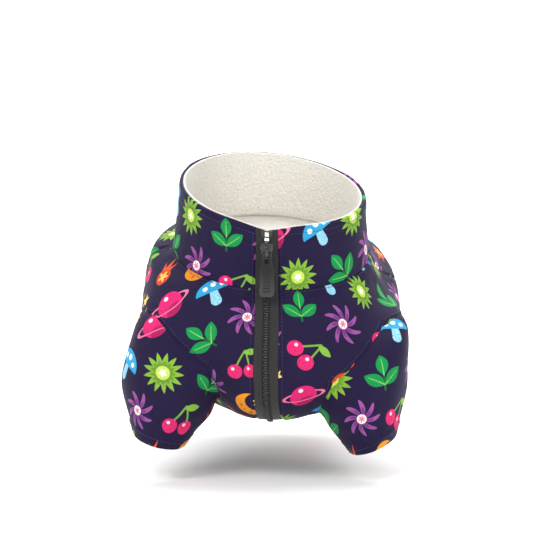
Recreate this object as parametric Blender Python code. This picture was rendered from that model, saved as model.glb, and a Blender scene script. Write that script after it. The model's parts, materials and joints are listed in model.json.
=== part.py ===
"""Zip-up dog jacket with a tall collar and two front sleeves, in its worn form.

Metres, +Z up. The wearer looks along -Y. The origin lies on the back of the neck seam,
where the jacket sits on the wearer's withers. One skin of quads is laid through tables
of sections, and each cloth piece is a wall cut out of that skin along its seams.
"""

from collections import namedtuple
import math

import bmesh
import bpy
from mathutils import Vector
from mathutils.bvhtree import BVHTree

# Cloth, in metres
CLOTH = 0.0020
LINING = 0.0014
SEAM_GAP = 0.0003
LAYER_GAP = 0.0003

# Neck and collar
NECK_WIDTH = 0.150
NECK_DEPTH = 0.126
NECK_DROP = 0.0495
COLLAR_WIDTH = 0.1405
COLLAR_DEPTH = 0.127
COLLAR_HEIGHT = 0.0488
COLLAR_LEAN = 0.009
COLLAR_ROLL = 0.0065
COLLAR_DIP = 0.004

# Torso
SHOULDER_WIDTH = 0.200
CHEST_DEPTH = 0.151
BACK_LENGTH = 0.230

# Sleeves
ARMHOLE_DEPTH = 0.086
SLEEVE_LENGTH = 0.100
SLEEVES_HALF_WIDTH = 0.100
SLEEVE_SETBACK = 0.4087 * BACK_LENGTH

# Zip
ZIP_WIDTH = 0.0160
CHAIN_WIDTH = 0.0034
TAPE = 0.0012
TAPE_SINK = 0.0004
CHAIN_RISE = 0.0009
CHAIN_SINK = 0.0017
STOP_WIDTH = 0.0022
STOP_HEIGHT = 0.0040
STOP_THICKNESS = 0.0012
END_STOP_WIDTH = 0.0060
END_STOP_HEIGHT = 0.0045
END_STOP_THICKNESS = 0.0014

# Slider and pull
SLIDER_WIDTH = 0.0096
SLIDER_HEIGHT = 0.0130
SLIDER_PLATE = 0.0016
SLIDER_REAR_PLATE = 0.0012
SLIDER_CLEARANCE = 0.0003
POST_WIDTH = 0.0022
POST_HEIGHT = 0.0026
ARCH_WIDTH = 0.0026
ARCH_HEIGHT = 0.0092
ARCH_BAR = 0.0014
ARCH_WINDOW = 0.0028
PULL_LENGTH = 0.0330
PULL_WIDTH = 0.0112
PULL_NECK_WIDTH = 0.0080
PULL_THICKNESS = 0.0016
PULL_SLOT_END = 0.0074
PULL_SHOULDER = 0.0120
PULL_CORNER = 0.0030
PULL_SLOT_CLEARANCE = 0.0006
PULL_SEAT_CLEARANCE = 0.0008

# Mesh resolution
SIDE_COLUMNS = 25
ROWS_PER_SECTION = 2
COLLAR_ROWS = 6
CHAIN_TOP_ROW = 4
SLEEVE_ROWS = 8
RELAX_ROUNDS = 60
RELAX_REACH = 0.020
SOFTEN_ROUNDS = 8
SOFTEN_REACH = 0.014

# A section is a closed ring in a plane that holds the X direction. Its front and back
# points lie on the jacket's middle line, and left and right are its half-widths.
Section = namedtuple("Section", "front_y front_z back_y back_z left right full roll zip_x")

# front_y, back_y: shares of BACK_LENGTH. front_z, back_z: shares of CHEST_DEPTH.
# left, right, roll, zip_x: shares of half of SHOULDER_WIDTH. full: the ring's exponent.
TORSO = [
    Section(-0.572, -0.405, 0.050, 0.010, 0.875, 0.800, 2.35, 0.025, -0.010),
    Section(-0.600, -0.520, 0.110, 0.018, 0.905, 0.840, 2.50, 0.035, -0.012),
    Section(-0.617, -0.645, 0.180, 0.018, 0.930, 0.910, 2.45, 0.045, -0.020),
    Section(-0.613, -0.770, 0.258, 0.004, 0.960, 1.010, 2.45, 0.050, -0.018),
    Section(-0.580, -0.890, 0.345, -0.015, 0.935, 1.010, 2.45, 0.040, -0.010),
    Section(-0.510, -0.968, 0.438, -0.035, 0.895, 0.930, 2.40, 0.030, 0.010),
    Section(-0.400, -0.997, 0.535, -0.055, 0.860, 0.880, 2.45, 0.020, 0.020),
    Section(-0.265, -1.000, 0.615, -0.072, 0.835, 0.850, 2.45, 0.010, 0.010),
    Section(-0.115, -0.990, 0.695, -0.090, 0.815, 0.825, 2.40, 0.000, 0.000),
    Section(0.045, -0.978, 0.775, -0.110, 0.800, 0.808, 2.35, 0.000, 0.000),
    Section(0.210, -0.970, 0.850, -0.135, 0.790, 0.797, 2.30, 0.000, 0.000),
    Section(0.375, -0.965, 0.925, -0.165, 0.785, 0.790, 2.30, 0.000, 0.000),
    Section(0.540, -0.965, 1.000, -0.200, 0.785, 0.790, 2.30, 0.000, 0.000),
]

# One ring of a sleeve. out and inn are the ring's outermost and innermost points in the
# front view: their x as shares of SLEEVES_HALF_WIDTH, and their z as shares of SLEEVE_LENGTH
# below the armhole's top. lift is the front point above the ring's middle, and deep is
# the ring's depth as a share of ARMHOLE_DEPTH.
SleeveRing = namedtuple("SleeveRing", "out_x out_z inn_x inn_z lift deep back")

SLEEVE_LEFT = [
    SleeveRing(0.965, 0.000, 0.375, 0.670, 0.070, 1.00, 0.00),
    SleeveRing(1.015, 0.170, 0.385, 0.750, 0.030, 0.97, 0.01),
    SleeveRing(1.070, 0.400, 0.400, 0.820, 0.000, 0.92, 0.02),
    SleeveRing(1.100, 0.570, 0.455, 0.880, -0.020, 0.85, 0.03),
    SleeveRing(1.080, 0.720, 0.535, 0.950, -0.035, 0.77, 0.04),
    SleeveRing(1.045, 0.850, 0.590, 1.015, -0.045, 0.70, 0.05),
    SleeveRing(1.012, 0.960, 0.622, 1.052, -0.055, 0.64, 0.06),
]
SLEEVE_RIGHT = [
    SleeveRing(1.075, 0.000, 0.412, 0.850, 0.060, 1.00, 0.00),
    SleeveRing(1.070, 0.200, 0.418, 0.900, 0.030, 0.97, 0.01),
    SleeveRing(1.056, 0.410, 0.435, 0.940, 0.000, 0.92, 0.02),
    SleeveRing(1.045, 0.580, 0.480, 0.970, -0.015, 0.85, 0.03),
    SleeveRing(1.020, 0.740, 0.540, 1.035, -0.025, 0.77, 0.04),
    SleeveRing(0.990, 0.870, 0.590, 1.085, -0.035, 0.70, 0.05),
    SleeveRing(0.965, 0.975, 0.615, 1.118, -0.040, 0.64, 0.06),
]
ARMHOLE_TOP = 0.4040 * CHEST_DEPTH

# The armhole's place in the torso's grid, counted in rows and columns from the zip
HOLE_FRONT_ROW = 6
HOLE_REAR_ROW = 14
HOLE_INNER_COLUMN = 3
HOLE_OUTER_COLUMN = 9
SEAM_COLUMN = 13

# A fold runs straight from one point to another. Points are shares of half of
# SHOULDER_WIDTH, BACK_LENGTH and CHEST_DEPTH, width and rise are in metres.
Fold = namedtuple("Fold", "ax ay az bx by bz width rise")
FOLDS = [
    Fold(-0.42, -0.60, -0.80, -0.12, -0.62, -0.66, 0.009, 0.0022),
    Fold(0.46, -0.60, -0.84, 0.14, -0.62, -0.70, 0.009, 0.0022),
    Fold(-0.70, -0.52, -0.28, -0.30, -0.60, -0.46, 0.012, 0.0020),
    Fold(0.74, -0.52, -0.30, 0.34, -0.60, -0.50, 0.012, 0.0020),
    Fold(-1.05, -0.40, -0.78, -0.62, -0.58, -0.92, 0.009, 0.0024),
    Fold(1.00, -0.40, -0.80, 0.62, -0.58, -0.97, 0.009, 0.0024),
    Fold(-0.85, -0.10, -0.62, -0.60, 0.30, -0.10, 0.014, 0.0028),
    Fold(0.87, -0.10, -0.62, 0.60, 0.30, -0.10, 0.014, 0.0028),
    Fold(-0.82, 0.16, -0.74, -0.40, 0.66, -0.08, 0.014, -0.0026),
    Fold(0.82, 0.16, -0.74, 0.40, 0.66, -0.08, 0.014, -0.0026),
    Fold(-0.55, 0.06, -0.98, 0.55, 0.06, -0.98, 0.013, -0.0020),
    Fold(-0.30, 0.10, 0.01, 0.30, 0.10, 0.01, 0.012, 0.0018),
]

# Colours are linear RGB
MATERIALS = {
    "printed_cloth": ((0.012, 0.006, 0.038), 0.85, 0.0),
    "plush_lining": ((0.82, 0.78, 0.70), 0.95, 0.0),
    "zip_tape": ((0.012, 0.012, 0.013), 0.90, 0.0),
    "zip_plastic": ((0.015, 0.015, 0.015), 0.30, 0.0),
}

Skin = namedtuple("Skin", "points faces normals index")


def clear_scene():
    for thing in list(bpy.data.objects):
        bpy.data.objects.remove(thing, do_unlink=True)


def make_materials():
    made = {}
    for name, (colour, roughness, metallic) in MATERIALS.items():
        material = bpy.data.materials.new(name)
        material.use_nodes = True
        shader = material.node_tree.nodes["Principled BSDF"]
        shader.inputs["Base Color"].default_value = (*colour, 1.0)
        shader.inputs["Roughness"].default_value = roughness
        shader.inputs["Metallic"].default_value = metallic
        material.diffuse_color = (*colour, 1.0)
        made[name] = material
    return made


def smooth_row(rows, t):
    """A table's values at t, on a smooth curve through its rows."""
    last = len(rows) - 1
    i = min(int(t), last - 1)
    f = t - i
    before, here, after, beyond = (rows[min(max(k, 0), last)] for k in (i - 1, i, i + 1, i + 2))
    values = []
    for p0, p1, p2, p3 in zip(before, here, after, beyond):
        rise = (p2 - p0) / 2
        leave = (p3 - p1) / 2
        a = 2 * p1 - 2 * p2 + rise + leave
        b = -3 * p1 + 3 * p2 - 2 * rise - leave
        values.append(((a * f + b) * f + rise) * f + p1)
    return type(here)(*values)


def neck_section():
    half = NECK_WIDTH / 2
    return Section(
        -NECK_DEPTH, -NECK_DROP, 0.0, 0.0, 0.965 * half, 1.035 * half, 2.0, 0.04 * half, -0.013 * half
    )


def collar_top_section():
    half = COLLAR_WIDTH / 2
    front_y = -NECK_DEPTH - COLLAR_LEAN
    front_z = COLLAR_HEIGHT - NECK_DROP
    back_y = front_y + COLLAR_DEPTH
    return Section(
        front_y, front_z, back_y, COLLAR_HEIGHT, 0.945 * half, 1.045 * half, 2.0, COLLAR_ROLL, -0.013 * half
    )


def torso_sections():
    half = SHOULDER_WIDTH / 2
    sections = [neck_section()]
    for row in TORSO:
        sections.append(
            Section(
                row.front_y * BACK_LENGTH,
                row.front_z * CHEST_DEPTH,
                row.back_y * BACK_LENGTH,
                row.back_z * CHEST_DEPTH,
                row.left * half,
                row.right * half,
                row.full,
                row.roll * half,
                row.zip_x * half,
            )
        )
    return sections


def ring_angles(section):
    """The zip's three columns, then the columns from its left edge round to its right."""
    angles = []
    for half_zip, half in (
        (CHAIN_WIDTH / 2, section.left),
        (ZIP_WIDTH / 2, section.left),
        (ZIP_WIDTH / 2, section.right),
        (CHAIN_WIDTH / 2, section.right),
    ):
        angles.append(math.asin((half_zip / half) ** (section.full / 2)))
    near_left, left, right, near_right = angles
    around = [left + (math.pi - left) * k / SIDE_COLUMNS for k in range(SIDE_COLUMNS + 1)]
    back = [math.pi + (math.pi - right) * k / SIDE_COLUMNS for k in range(1, SIDE_COLUMNS + 1)]
    return [near_left] + around + back + [2 * math.pi - near_right]


def ring_point(section, angle):
    power = 2 / section.full
    across = math.copysign(abs(math.sin(angle)) ** power, -math.sin(angle))
    along = math.copysign(abs(math.cos(angle)) ** power, -math.cos(angle))
    x = across * (section.left if across < 0 else section.right)
    x += section.zip_x * max(0.0, -along) ** 3
    share = (along + 1) / 2
    y = section.front_y + (section.back_y - section.front_y) * share
    z = section.front_z + (section.back_z - section.front_z) * share
    return Vector((x, y, z - across * section.roll))


def ring(section):
    return [ring_point(section, angle) for angle in ring_angles(section)]


def torso_rings():
    sections = torso_sections()
    count = (len(sections) - 1) * ROWS_PER_SECTION
    return [ring(smooth_row(sections, k / ROWS_PER_SECTION)) for k in range(count + 1)]


def collar_rings():
    """Rings from just above the neck seam to the collar's edge, which dips at the zip."""
    base = neck_section()
    top = collar_top_section()
    rings = []
    for k in range(1, COLLAR_ROWS + 1):
        t = k / COLLAR_ROWS
        section = Section(*(a + (b - a) * t for a, b in zip(base, top)))
        points = ring(section)
        for point in points:
            near_zip = math.exp(-(((point.x - section.zip_x) / ZIP_WIDTH) ** 2))
            if point.y < (section.front_y + section.back_y) / 2:
                point.z -= COLLAR_DIP * near_zip * t
        rings.append(points)
    return rings


def hole_loop(side):
    """Grid places round one armhole, from the middle of its front edge outwards."""
    def column(k):
        return 1 + k if side < 0 else 1 + 2 * SIDE_COLUMNS - k

    middle = (HOLE_INNER_COLUMN + HOLE_OUTER_COLUMN) // 2
    places = [(HOLE_FRONT_ROW, k) for k in range(middle, HOLE_OUTER_COLUMN)]
    places += [(r, HOLE_OUTER_COLUMN) for r in range(HOLE_FRONT_ROW, HOLE_REAR_ROW)]
    places += [(HOLE_REAR_ROW, k) for k in range(HOLE_OUTER_COLUMN, HOLE_INNER_COLUMN, -1)]
    places += [(r, HOLE_INNER_COLUMN) for r in range(HOLE_REAR_ROW, HOLE_FRONT_ROW, -1)]
    places += [(HOLE_FRONT_ROW, k) for k in range(HOLE_INNER_COLUMN, middle)]
    return [(r, column(k)) for r, k in places]


def sleeve_ring(side, row, count):
    """Points of one sleeve ring, from its front point outwards and round."""
    out = Vector((side * row.out_x * SLEEVES_HALF_WIDTH, 0, -ARMHOLE_TOP - row.out_z * SLEEVE_LENGTH))
    inn = Vector((side * row.inn_x * SLEEVES_HALF_WIDTH, 0, -ARMHOLE_TOP - row.inn_z * SLEEVE_LENGTH))
    middle = (out + inn) / 2 + Vector((0, -SLEEVE_SETBACK - row.back * ARMHOLE_DEPTH, 0))
    across = (out - inn) / 2
    ahead = Vector((0, -row.deep * ARMHOLE_DEPTH / 2, row.lift * SLEEVE_LENGTH))
    points = []
    for k in range(count):
        angle = 2 * math.pi * k / count
        points.append(middle + across * math.sin(angle) + ahead * math.cos(angle))
    return points


def relax(rings, loops):
    """Spread the grid evenly over the torso and ease it into the armholes' edges."""
    rows, columns = len(rings), len(rings[0])
    flat = [point.copy() for points in rings for point in points]
    quads = []
    for r in range(rows - 1):
        for c in range(columns):
            d = (c + 1) % columns
            quads.append((r * columns + c, r * columns + d, (r + 1) * columns + d, (r + 1) * columns + c))
    base = BVHTree.FromPolygons(flat, quads)
    edge = {}
    inside = set()
    for side, loop in loops.items():
        target = sleeve_ring(side, (SLEEVE_LEFT if side < 0 else SLEEVE_RIGHT)[0], len(loop))
        edge.update(zip(loop, target))
        for r in range(HOLE_FRONT_ROW + 1, HOLE_REAR_ROW):
            for k in range(HOLE_INNER_COLUMN + 1, HOLE_OUTER_COLUMN):
                inside.add((r, 1 + k if side < 0 else 1 + 2 * SIDE_COLUMNS - k))
    for (r, c), point in edge.items():
        rings[r][c] = point.copy()
    zip_columns = {0, 1, columns - 2, columns - 1}
    free = [
        (r, c)
        for r in range(1, rows - 1)
        for c in range(columns)
        if (r, c) not in edge and (r, c) not in inside and c not in zip_columns
    ]
    for _ in range(RELAX_ROUNDS):
        moved = {}
        for r, c in free:
            around = rings[r - 1][c] + rings[r + 1][c] + rings[r][c - 1] + rings[r][(c + 1) % columns]
            mean = around / 4
            seat = base.find_nearest(mean)[0]
            near = min((mean - point).length for point in edge.values())
            ease = math.exp(-((near / RELAX_REACH) ** 2))
            moved[r, c] = seat.lerp(mean, ease)
        for (r, c), point in moved.items():
            rings[r][c] = point
    return inside


def fold_shift(point):
    half = SHOULDER_WIDTH / 2
    shift = 0.0
    for fold in FOLDS:
        a = Vector((fold.ax * half, fold.ay * BACK_LENGTH, fold.az * CHEST_DEPTH))
        b = Vector((fold.bx * half, fold.by * BACK_LENGTH, fold.bz * CHEST_DEPTH))
        run = b - a
        t = (point - a).dot(run) / run.length_squared
        off = (point - a - run * min(max(t, 0.0), 1.0)).length
        shift += fold.rise * math.exp(-((off / fold.width) ** 2))
    return shift


def panel_of(column, columns):
    """The torso piece that a grid cell belongs to."""
    if column == 0:
        return "zip_tape_left"
    if column == columns - 2:
        return "zip_tape_right"
    if column == columns - 1:
        return "zip_chain"
    if column <= SEAM_COLUMN:
        return "front_left"
    if column > columns - 3 - SEAM_COLUMN:
        return "front_right"
    return "back"


def build_skin():
    """All quads of the jacket's outside, each with the name of its piece."""
    torso = torso_rings()
    collar = collar_rings()
    loops = {side: hole_loop(side) for side in (-1, 1)}
    inside = relax(torso, loops)
    columns = len(torso[0])
    points, faces, index = [], [], {}

    def place(key, point):
        index[key] = len(points)
        points.append(point)

    for r, row in enumerate(torso):
        for c, point in enumerate(row):
            if (r, c) not in inside:
                place(("torso", r, c), point)
    for r, row in enumerate(collar):
        for c, point in enumerate(row):
            place(("torso", -1 - r, c), point)

    def cell(r, c):
        d = (c + 1) % columns
        return [("torso", r, c), ("torso", r, d), ("torso", r + 1, d), ("torso", r + 1, c)]

    for r in range(-COLLAR_ROWS, len(torso) - 1):
        for c in range(columns):
            keys = cell(r, c)
            if is_hole(r, c):
                continue
            name = panel_of(c, columns)
            if r < 0 and name in ("front_left", "front_right", "back"):
                name = "collar"
            if name == "zip_chain" and r < -CHAIN_TOP_ROW:
                continue
            faces.append(([index[key] for key in keys], name))

    for side, loop in loops.items():
        table = SLEEVE_LEFT if side < 0 else SLEEVE_RIGHT
        name = "sleeve_left" if side < 0 else "sleeve_right"
        rings = [[index[("torso", r, c)] for r, c in loop]]
        for k in range(1, SLEEVE_ROWS + 1):
            row = smooth_row(table, k * (len(table) - 1) / SLEEVE_ROWS)
            made = []
            for point in sleeve_ring(side, row, len(loop)):
                made.append(len(points))
                points.append(point)
            rings.append(made)
        for upper, lower in zip(rings, rings[1:]):
            for k in range(len(loop)):
                m = (k + 1) % len(loop)
                quad = [upper[k], upper[m], lower[m], lower[k]]
                faces.append((quad if side < 0 else quad[::-1], name))

    soften(points, faces, [[index["torso", r, c] for r, c in loop] for loop in loops.values()])
    normals = vertex_normals(points, faces)
    points = [point + normal * fold_shift(point) for point, normal in zip(points, normals)]
    return Skin(points, faces, vertex_normals(points, faces), index)


def soften(points, faces, loops):
    """Round the crease along the armhole seams and even out the seams themselves."""
    rims = [points[i].copy() for loop in loops for i in loop]
    around = {}
    for quad, _ in faces:
        for k, i in enumerate(quad):
            around.setdefault(i, set()).update((quad[k - 1], quad[(k + 1) % len(quad)]))
    eases = {}
    for i, point in enumerate(points):
        near = min((point - rim).length for rim in rims)
        ease = math.exp(-((near / SOFTEN_REACH) ** 2))
        if ease > 0.02 and i in around and len(around[i]) > 3:
            eases[i] = ease / 2
    for _ in range(SOFTEN_ROUNDS):
        moved = {}
        for i, ease in eases.items():
            mean = sum((points[j] for j in around[i]), Vector()) / len(around[i])
            moved[i] = points[i].lerp(mean, ease)
        for i, point in moved.items():
            points[i] = point
        for loop in loops:
            even = [(points[loop[k - 1]] + points[loop[(k + 1) % len(loop)]]) / 2 for k in range(len(loop))]
            for i, point in zip(loop, even):
                points[i] = points[i].lerp(point, 0.5)


def is_hole(r, c):
    if not HOLE_FRONT_ROW <= r < HOLE_REAR_ROW:
        return False
    left = 1 + HOLE_INNER_COLUMN <= c < 1 + HOLE_OUTER_COLUMN
    mirrored = 2 * SIDE_COLUMNS + 1 - c
    right = HOLE_INNER_COLUMN < mirrored <= HOLE_OUTER_COLUMN
    return left or right


def vertex_normals(points, faces):
    sums = [Vector((0, 0, 0)) for _ in points]
    for quad, _ in faces:
        a, b, c, d = (points[i] for i in quad)
        normal = (c - a).cross(d - b)
        for i in quad:
            sums[i] += normal
    return [total.normalized() if total.length else Vector((0, 0, 1)) for total in sums]


def shell(name, skin, material, out, into, pieces=None):
    """A closed wall on the skin's faces of one piece, from out above it to into below."""
    wanted = pieces or (name,)
    quads = [quad for quad, piece in skin.faces if piece in wanted]
    sides = {}
    centres = {}
    for quad in quads:
        middle = sum((skin.points[i] for i in quad), Vector()) / len(quad)
        for k, i in enumerate(quad):
            centres.setdefault(i, []).append(middle)
            j = quad[(k + 1) % len(quad)]
            sides[(i, j)] = quad
    border = [(i, j) for i, j in sides if (j, i) not in sides]
    on_border = {i for edge in border for i in edge}
    mesh = bmesh.new()
    outer, inner = {}, {}
    for i, middles in centres.items():
        point = skin.points[i].copy()
        normal = skin.normals[i]
        if i in on_border:
            inward = sum(middles, Vector()) / len(middles) - point
            inward -= normal * inward.dot(normal)
            point += inward.normalized() * SEAM_GAP / 2 * (1.4 if len(middles) == 1 else 1.0)
        outer[i] = mesh.verts.new(point + normal * out)
        inner[i] = mesh.verts.new(point - normal * into)
    for quad in quads:
        a, b, c, d = quad
        across = (skin.points[a] - skin.points[c]).length
        along = (skin.points[b] - skin.points[d]).length
        halves = [(a, b, c), (a, c, d)] if across < along else [(a, b, d), (b, c, d)]
        for half in halves:
            mesh.faces.new([outer[i] for i in half])
            mesh.faces.new([inner[i] for i in reversed(half)])
    for i, j in border:
        low, high = min(i, j), max(i, j)
        mesh.faces.new([outer[high], outer[low], inner[low]])
        mesh.faces.new([outer[high], inner[low], inner[high]])
    return finish(name, mesh, material)


def finish(name, mesh, material):
    bmesh.ops.recalc_face_normals(mesh, faces=mesh.faces)
    data = bpy.data.meshes.new(name)
    mesh.to_mesh(data)
    mesh.free()
    data.materials.append(material)
    thing = bpy.data.objects.new(name, data)
    bpy.context.collection.objects.link(thing)
    return thing


def block(low, high):
    """The eight corners of a box and its faces."""
    corners = [(x, y, z) for x in (low[0], high[0]) for y in (low[1], high[1]) for z in (low[2], high[2])]
    faces = [(0, 1, 3, 2), (4, 6, 7, 5), (0, 4, 5, 1), (2, 3, 7, 6), (0, 2, 6, 4), (1, 5, 7, 3)]
    return corners, faces


def plate(outline, half):
    """A plate in the XZ plane from an outline of (x, z) points."""
    count = len(outline)
    corners = [(x, -half, z) for x, z in outline] + [(x, half, z) for x, z in outline]
    faces = [tuple(range(count)), tuple(range(2 * count - 1, count - 1, -1))]
    faces += [(k, k + count, (k + 1) % count + count, (k + 1) % count) for k in range(count)]
    return corners, faces


def solid(name, shape, material):
    corners, faces = shape
    mesh = bmesh.new()
    verts = [mesh.verts.new(corner) for corner in corners]
    for face in faces:
        mesh.faces.new([verts[i] for i in face])
    return finish(name, mesh, material)


def fused(name, shapes, material, minus=()):
    """One solid from overlapping shapes, less the shapes in minus."""
    body = solid(name, shapes[0], material)
    tools = [("UNION", shape) for shape in shapes[1:]] + [("DIFFERENCE", shape) for shape in minus]
    for operation, shape in tools:
        tool = solid(name + "_tool", shape, material)
        cut = body.modifiers.new("cut", "BOOLEAN")
        cut.operation = operation
        cut.object = tool
        graph = bpy.context.evaluated_depsgraph_get()
        made = bpy.data.meshes.new_from_object(body.evaluated_get(graph))
        body.modifiers.clear()
        body.data = made
        bpy.data.objects.remove(tool, do_unlink=True)
    return body


def zip_frame(skin, row, share=0.0):
    """A point on the zip's middle line and its across, outward and up directions."""
    columns = 2 * SIDE_COLUMNS + 3
    ends = []
    for r in (row, row + 1):
        left = skin.points[skin.index["torso", r, 0]]
        right = skin.points[skin.index["torso", r, columns - 1]]
        ends.append((left + right) / 2)
    upper, lower = ends
    up = (upper - lower).normalized()
    across = Vector((1, 0, 0))
    outward = across.cross(up).normalized()
    return upper.lerp(lower, share), across, outward, up


def place_on(thing, frame):
    """Turn a piece made along X, Y outward and Z up onto a frame of the zip."""
    point, across, outward, up = frame
    for vertex in thing.data.vertices:
        x, y, z = vertex.co
        vertex.co = point + across * x + outward * y + up * z
    mesh = bmesh.new()
    mesh.from_mesh(thing.data)
    bmesh.ops.recalc_face_normals(mesh, faces=mesh.faces)
    mesh.to_mesh(thing.data)
    mesh.free()
    return thing


def slider_layers():
    """Heights above the skin at which the slider's layers start and end."""
    plate_in = CHAIN_RISE + SLIDER_CLEARANCE
    plate_out = plate_in + SLIDER_PLATE
    bar_in = plate_out + ARCH_WINDOW
    rear_out = -(CHAIN_SINK + SLIDER_CLEARANCE)
    return plate_in, plate_out, bar_in, bar_in + ARCH_BAR, rear_out - SLIDER_REAR_PLATE, rear_out


def make_slider(skin, material):
    plate_in, plate_out, bar_in, bar_out, rear_in, rear_out = slider_layers()
    half, tall = SLIDER_WIDTH / 2, SLIDER_HEIGHT / 2
    post_low = SLIDER_CLEARANCE + SEAM_GAP
    plate = block((-half, plate_in, -tall), (half, plate_out, tall))
    rear = block((-half, rear_in, -tall), (half, rear_out, tall))
    post = block(
        (-POST_WIDTH / 2, rear_in + SLIDER_REAR_PLATE / 2, post_low),
        (POST_WIDTH / 2, plate_in + SLIDER_PLATE / 2, post_low + POST_HEIGHT),
    )
    rise = ARCH_HEIGHT / 2
    arch = block((-ARCH_WIDTH / 2, plate_in + SLIDER_PLATE / 2, -rise), (ARCH_WIDTH / 2, bar_out, rise))
    window = block((-ARCH_WIDTH, plate_out, -rise + ARCH_BAR), (ARCH_WIDTH, bar_in, rise - ARCH_BAR))
    body = fused("zip_slider", [plate, post, rear, arch], material, minus=[window])
    return place_on(body, zip_frame(skin, -CHAIN_TOP_ROW))


def pull_axis(skin):
    """The hinge axis under the slider's arch, about which the pull swings."""
    point, across, outward, up = zip_frame(skin, -CHAIN_TOP_ROW)
    plate_out = slider_layers()[1]
    low = -ARCH_HEIGHT / 2 + ARCH_BAR + PULL_SEAT_CLEARANCE + PULL_THICKNESS / 2
    return point + outward * (plate_out + ARCH_WINDOW / 2) + up * low


def make_pull(skin, material):
    """The pull hangs straight down from its crossbar, its parent empty on the hinge."""
    half = PULL_THICKNESS / 2
    slot = ARCH_WIDTH / 2 + PULL_SLOT_CLEARANCE
    neck, wide = PULL_NECK_WIDTH / 2, PULL_WIDTH / 2
    shoulder = -PULL_SHOULDER
    tip = -PULL_LENGTH + half
    corner = PULL_CORNER
    outline = [
        (-neck, half),
        (neck, half),
        (neck, -PULL_SLOT_END),
        (wide, shoulder),
        (wide, tip + corner),
        (wide - corner, tip),
        (-wide + corner, tip),
        (-wide, tip + corner),
        (-wide, shoulder),
        (-neck, -PULL_SLOT_END),
    ]
    window = block((-slot, -PULL_THICKNESS, -PULL_SLOT_END), (slot, PULL_THICKNESS, -half))
    pull = fused("zip_pull", [plate(outline, half)], material, minus=[window])
    hinge = bpy.data.objects.new("pull_hinge", None)
    hinge.location = pull_axis(skin)
    bpy.context.collection.objects.link(hinge)
    pull.parent = hinge
    return pull


def make_stops(skin, material):
    top = -TAPE_SINK + SEAM_GAP
    for side, name in ((-1, "top_stop_left"), (1, "top_stop_right")):
        edge = side * (CHAIN_WIDTH / 2 + SEAM_GAP)
        far = edge + side * STOP_WIDTH
        shape = block(
            (min(edge, far), top, -STOP_HEIGHT - SEAM_GAP),
            (max(edge, far), top + STOP_THICKNESS, -SEAM_GAP),
        )
        place_on(solid(name, shape, material), zip_frame(skin, -COLLAR_ROWS))
    last = len(TORSO) * ROWS_PER_SECTION - 1
    low = CHAIN_RISE + SEAM_GAP
    shape = block(
        (-END_STOP_WIDTH / 2, low, SEAM_GAP),
        (END_STOP_WIDTH / 2, low + END_STOP_THICKNESS, SEAM_GAP + END_STOP_HEIGHT),
    )
    place_on(solid("bottom_stop", shape, material), zip_frame(skin, last, 1.0))


def main():
    clear_scene()
    materials = make_materials()
    cloth = materials["printed_cloth"]
    skin = build_skin()
    for name in ("front_left", "front_right", "back", "sleeve_left", "sleeve_right", "collar"):
        shell(name, skin, cloth, 0.0, CLOTH)
    behind = CLOTH + LAYER_GAP
    shell("collar_lining", skin, materials["plush_lining"], -behind, behind + LINING, ("collar",))
    for name in ("zip_tape_left", "zip_tape_right"):
        shell(name, skin, materials["zip_tape"], -TAPE_SINK, TAPE_SINK + TAPE)
    shell("zip_chain", skin, materials["zip_plastic"], CHAIN_RISE, CHAIN_SINK)
    make_slider(skin, materials["zip_plastic"])
    make_pull(skin, materials["zip_plastic"])
    make_stops(skin, materials["zip_plastic"])


main()
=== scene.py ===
"""Looks of a zip-up dog jacket with a tall lined collar and two front sleeves.

Metres, +Z up, the wearer looks along -Y. The cloth is laid on the same skin as the CAD
solids, refined, unwrapped piece by piece as the cutter's pattern lies, and printed.
"""

import json
import math
from collections import namedtuple

import bmesh
import bpy
import numpy as np
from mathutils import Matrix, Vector, noise
from mathutils.bvhtree import BVHTree
from mathutils.kdtree import KDTree

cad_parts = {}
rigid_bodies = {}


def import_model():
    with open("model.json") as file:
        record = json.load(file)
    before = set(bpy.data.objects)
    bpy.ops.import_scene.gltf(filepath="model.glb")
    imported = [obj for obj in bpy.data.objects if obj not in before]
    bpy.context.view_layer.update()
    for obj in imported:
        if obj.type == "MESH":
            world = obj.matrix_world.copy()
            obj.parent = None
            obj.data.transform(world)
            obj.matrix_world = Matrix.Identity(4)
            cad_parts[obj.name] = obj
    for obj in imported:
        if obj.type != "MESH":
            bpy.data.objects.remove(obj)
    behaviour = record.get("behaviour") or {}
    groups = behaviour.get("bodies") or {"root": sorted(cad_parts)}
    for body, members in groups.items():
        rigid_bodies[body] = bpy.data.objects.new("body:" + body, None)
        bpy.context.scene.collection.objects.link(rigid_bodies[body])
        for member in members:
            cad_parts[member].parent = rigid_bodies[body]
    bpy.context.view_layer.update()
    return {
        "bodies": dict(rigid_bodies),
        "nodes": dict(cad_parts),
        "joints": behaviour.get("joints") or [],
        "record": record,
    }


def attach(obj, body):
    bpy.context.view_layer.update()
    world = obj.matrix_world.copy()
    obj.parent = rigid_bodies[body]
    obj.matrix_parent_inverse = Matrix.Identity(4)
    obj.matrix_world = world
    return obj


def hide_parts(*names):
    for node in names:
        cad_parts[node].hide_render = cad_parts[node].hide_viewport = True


# Cloth, in metres
CLOTH = 0.0020
LINING = 0.0014
SEAM_GAP = 0.0003
LAYER_GAP = 0.0003

# Neck and collar
NECK_WIDTH = 0.150
NECK_DEPTH = 0.126
NECK_DROP = 0.0495
COLLAR_WIDTH = 0.1405
COLLAR_DEPTH = 0.127
COLLAR_HEIGHT = 0.0488
COLLAR_LEAN = 0.009
COLLAR_ROLL = 0.0065
COLLAR_DIP = 0.004

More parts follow.
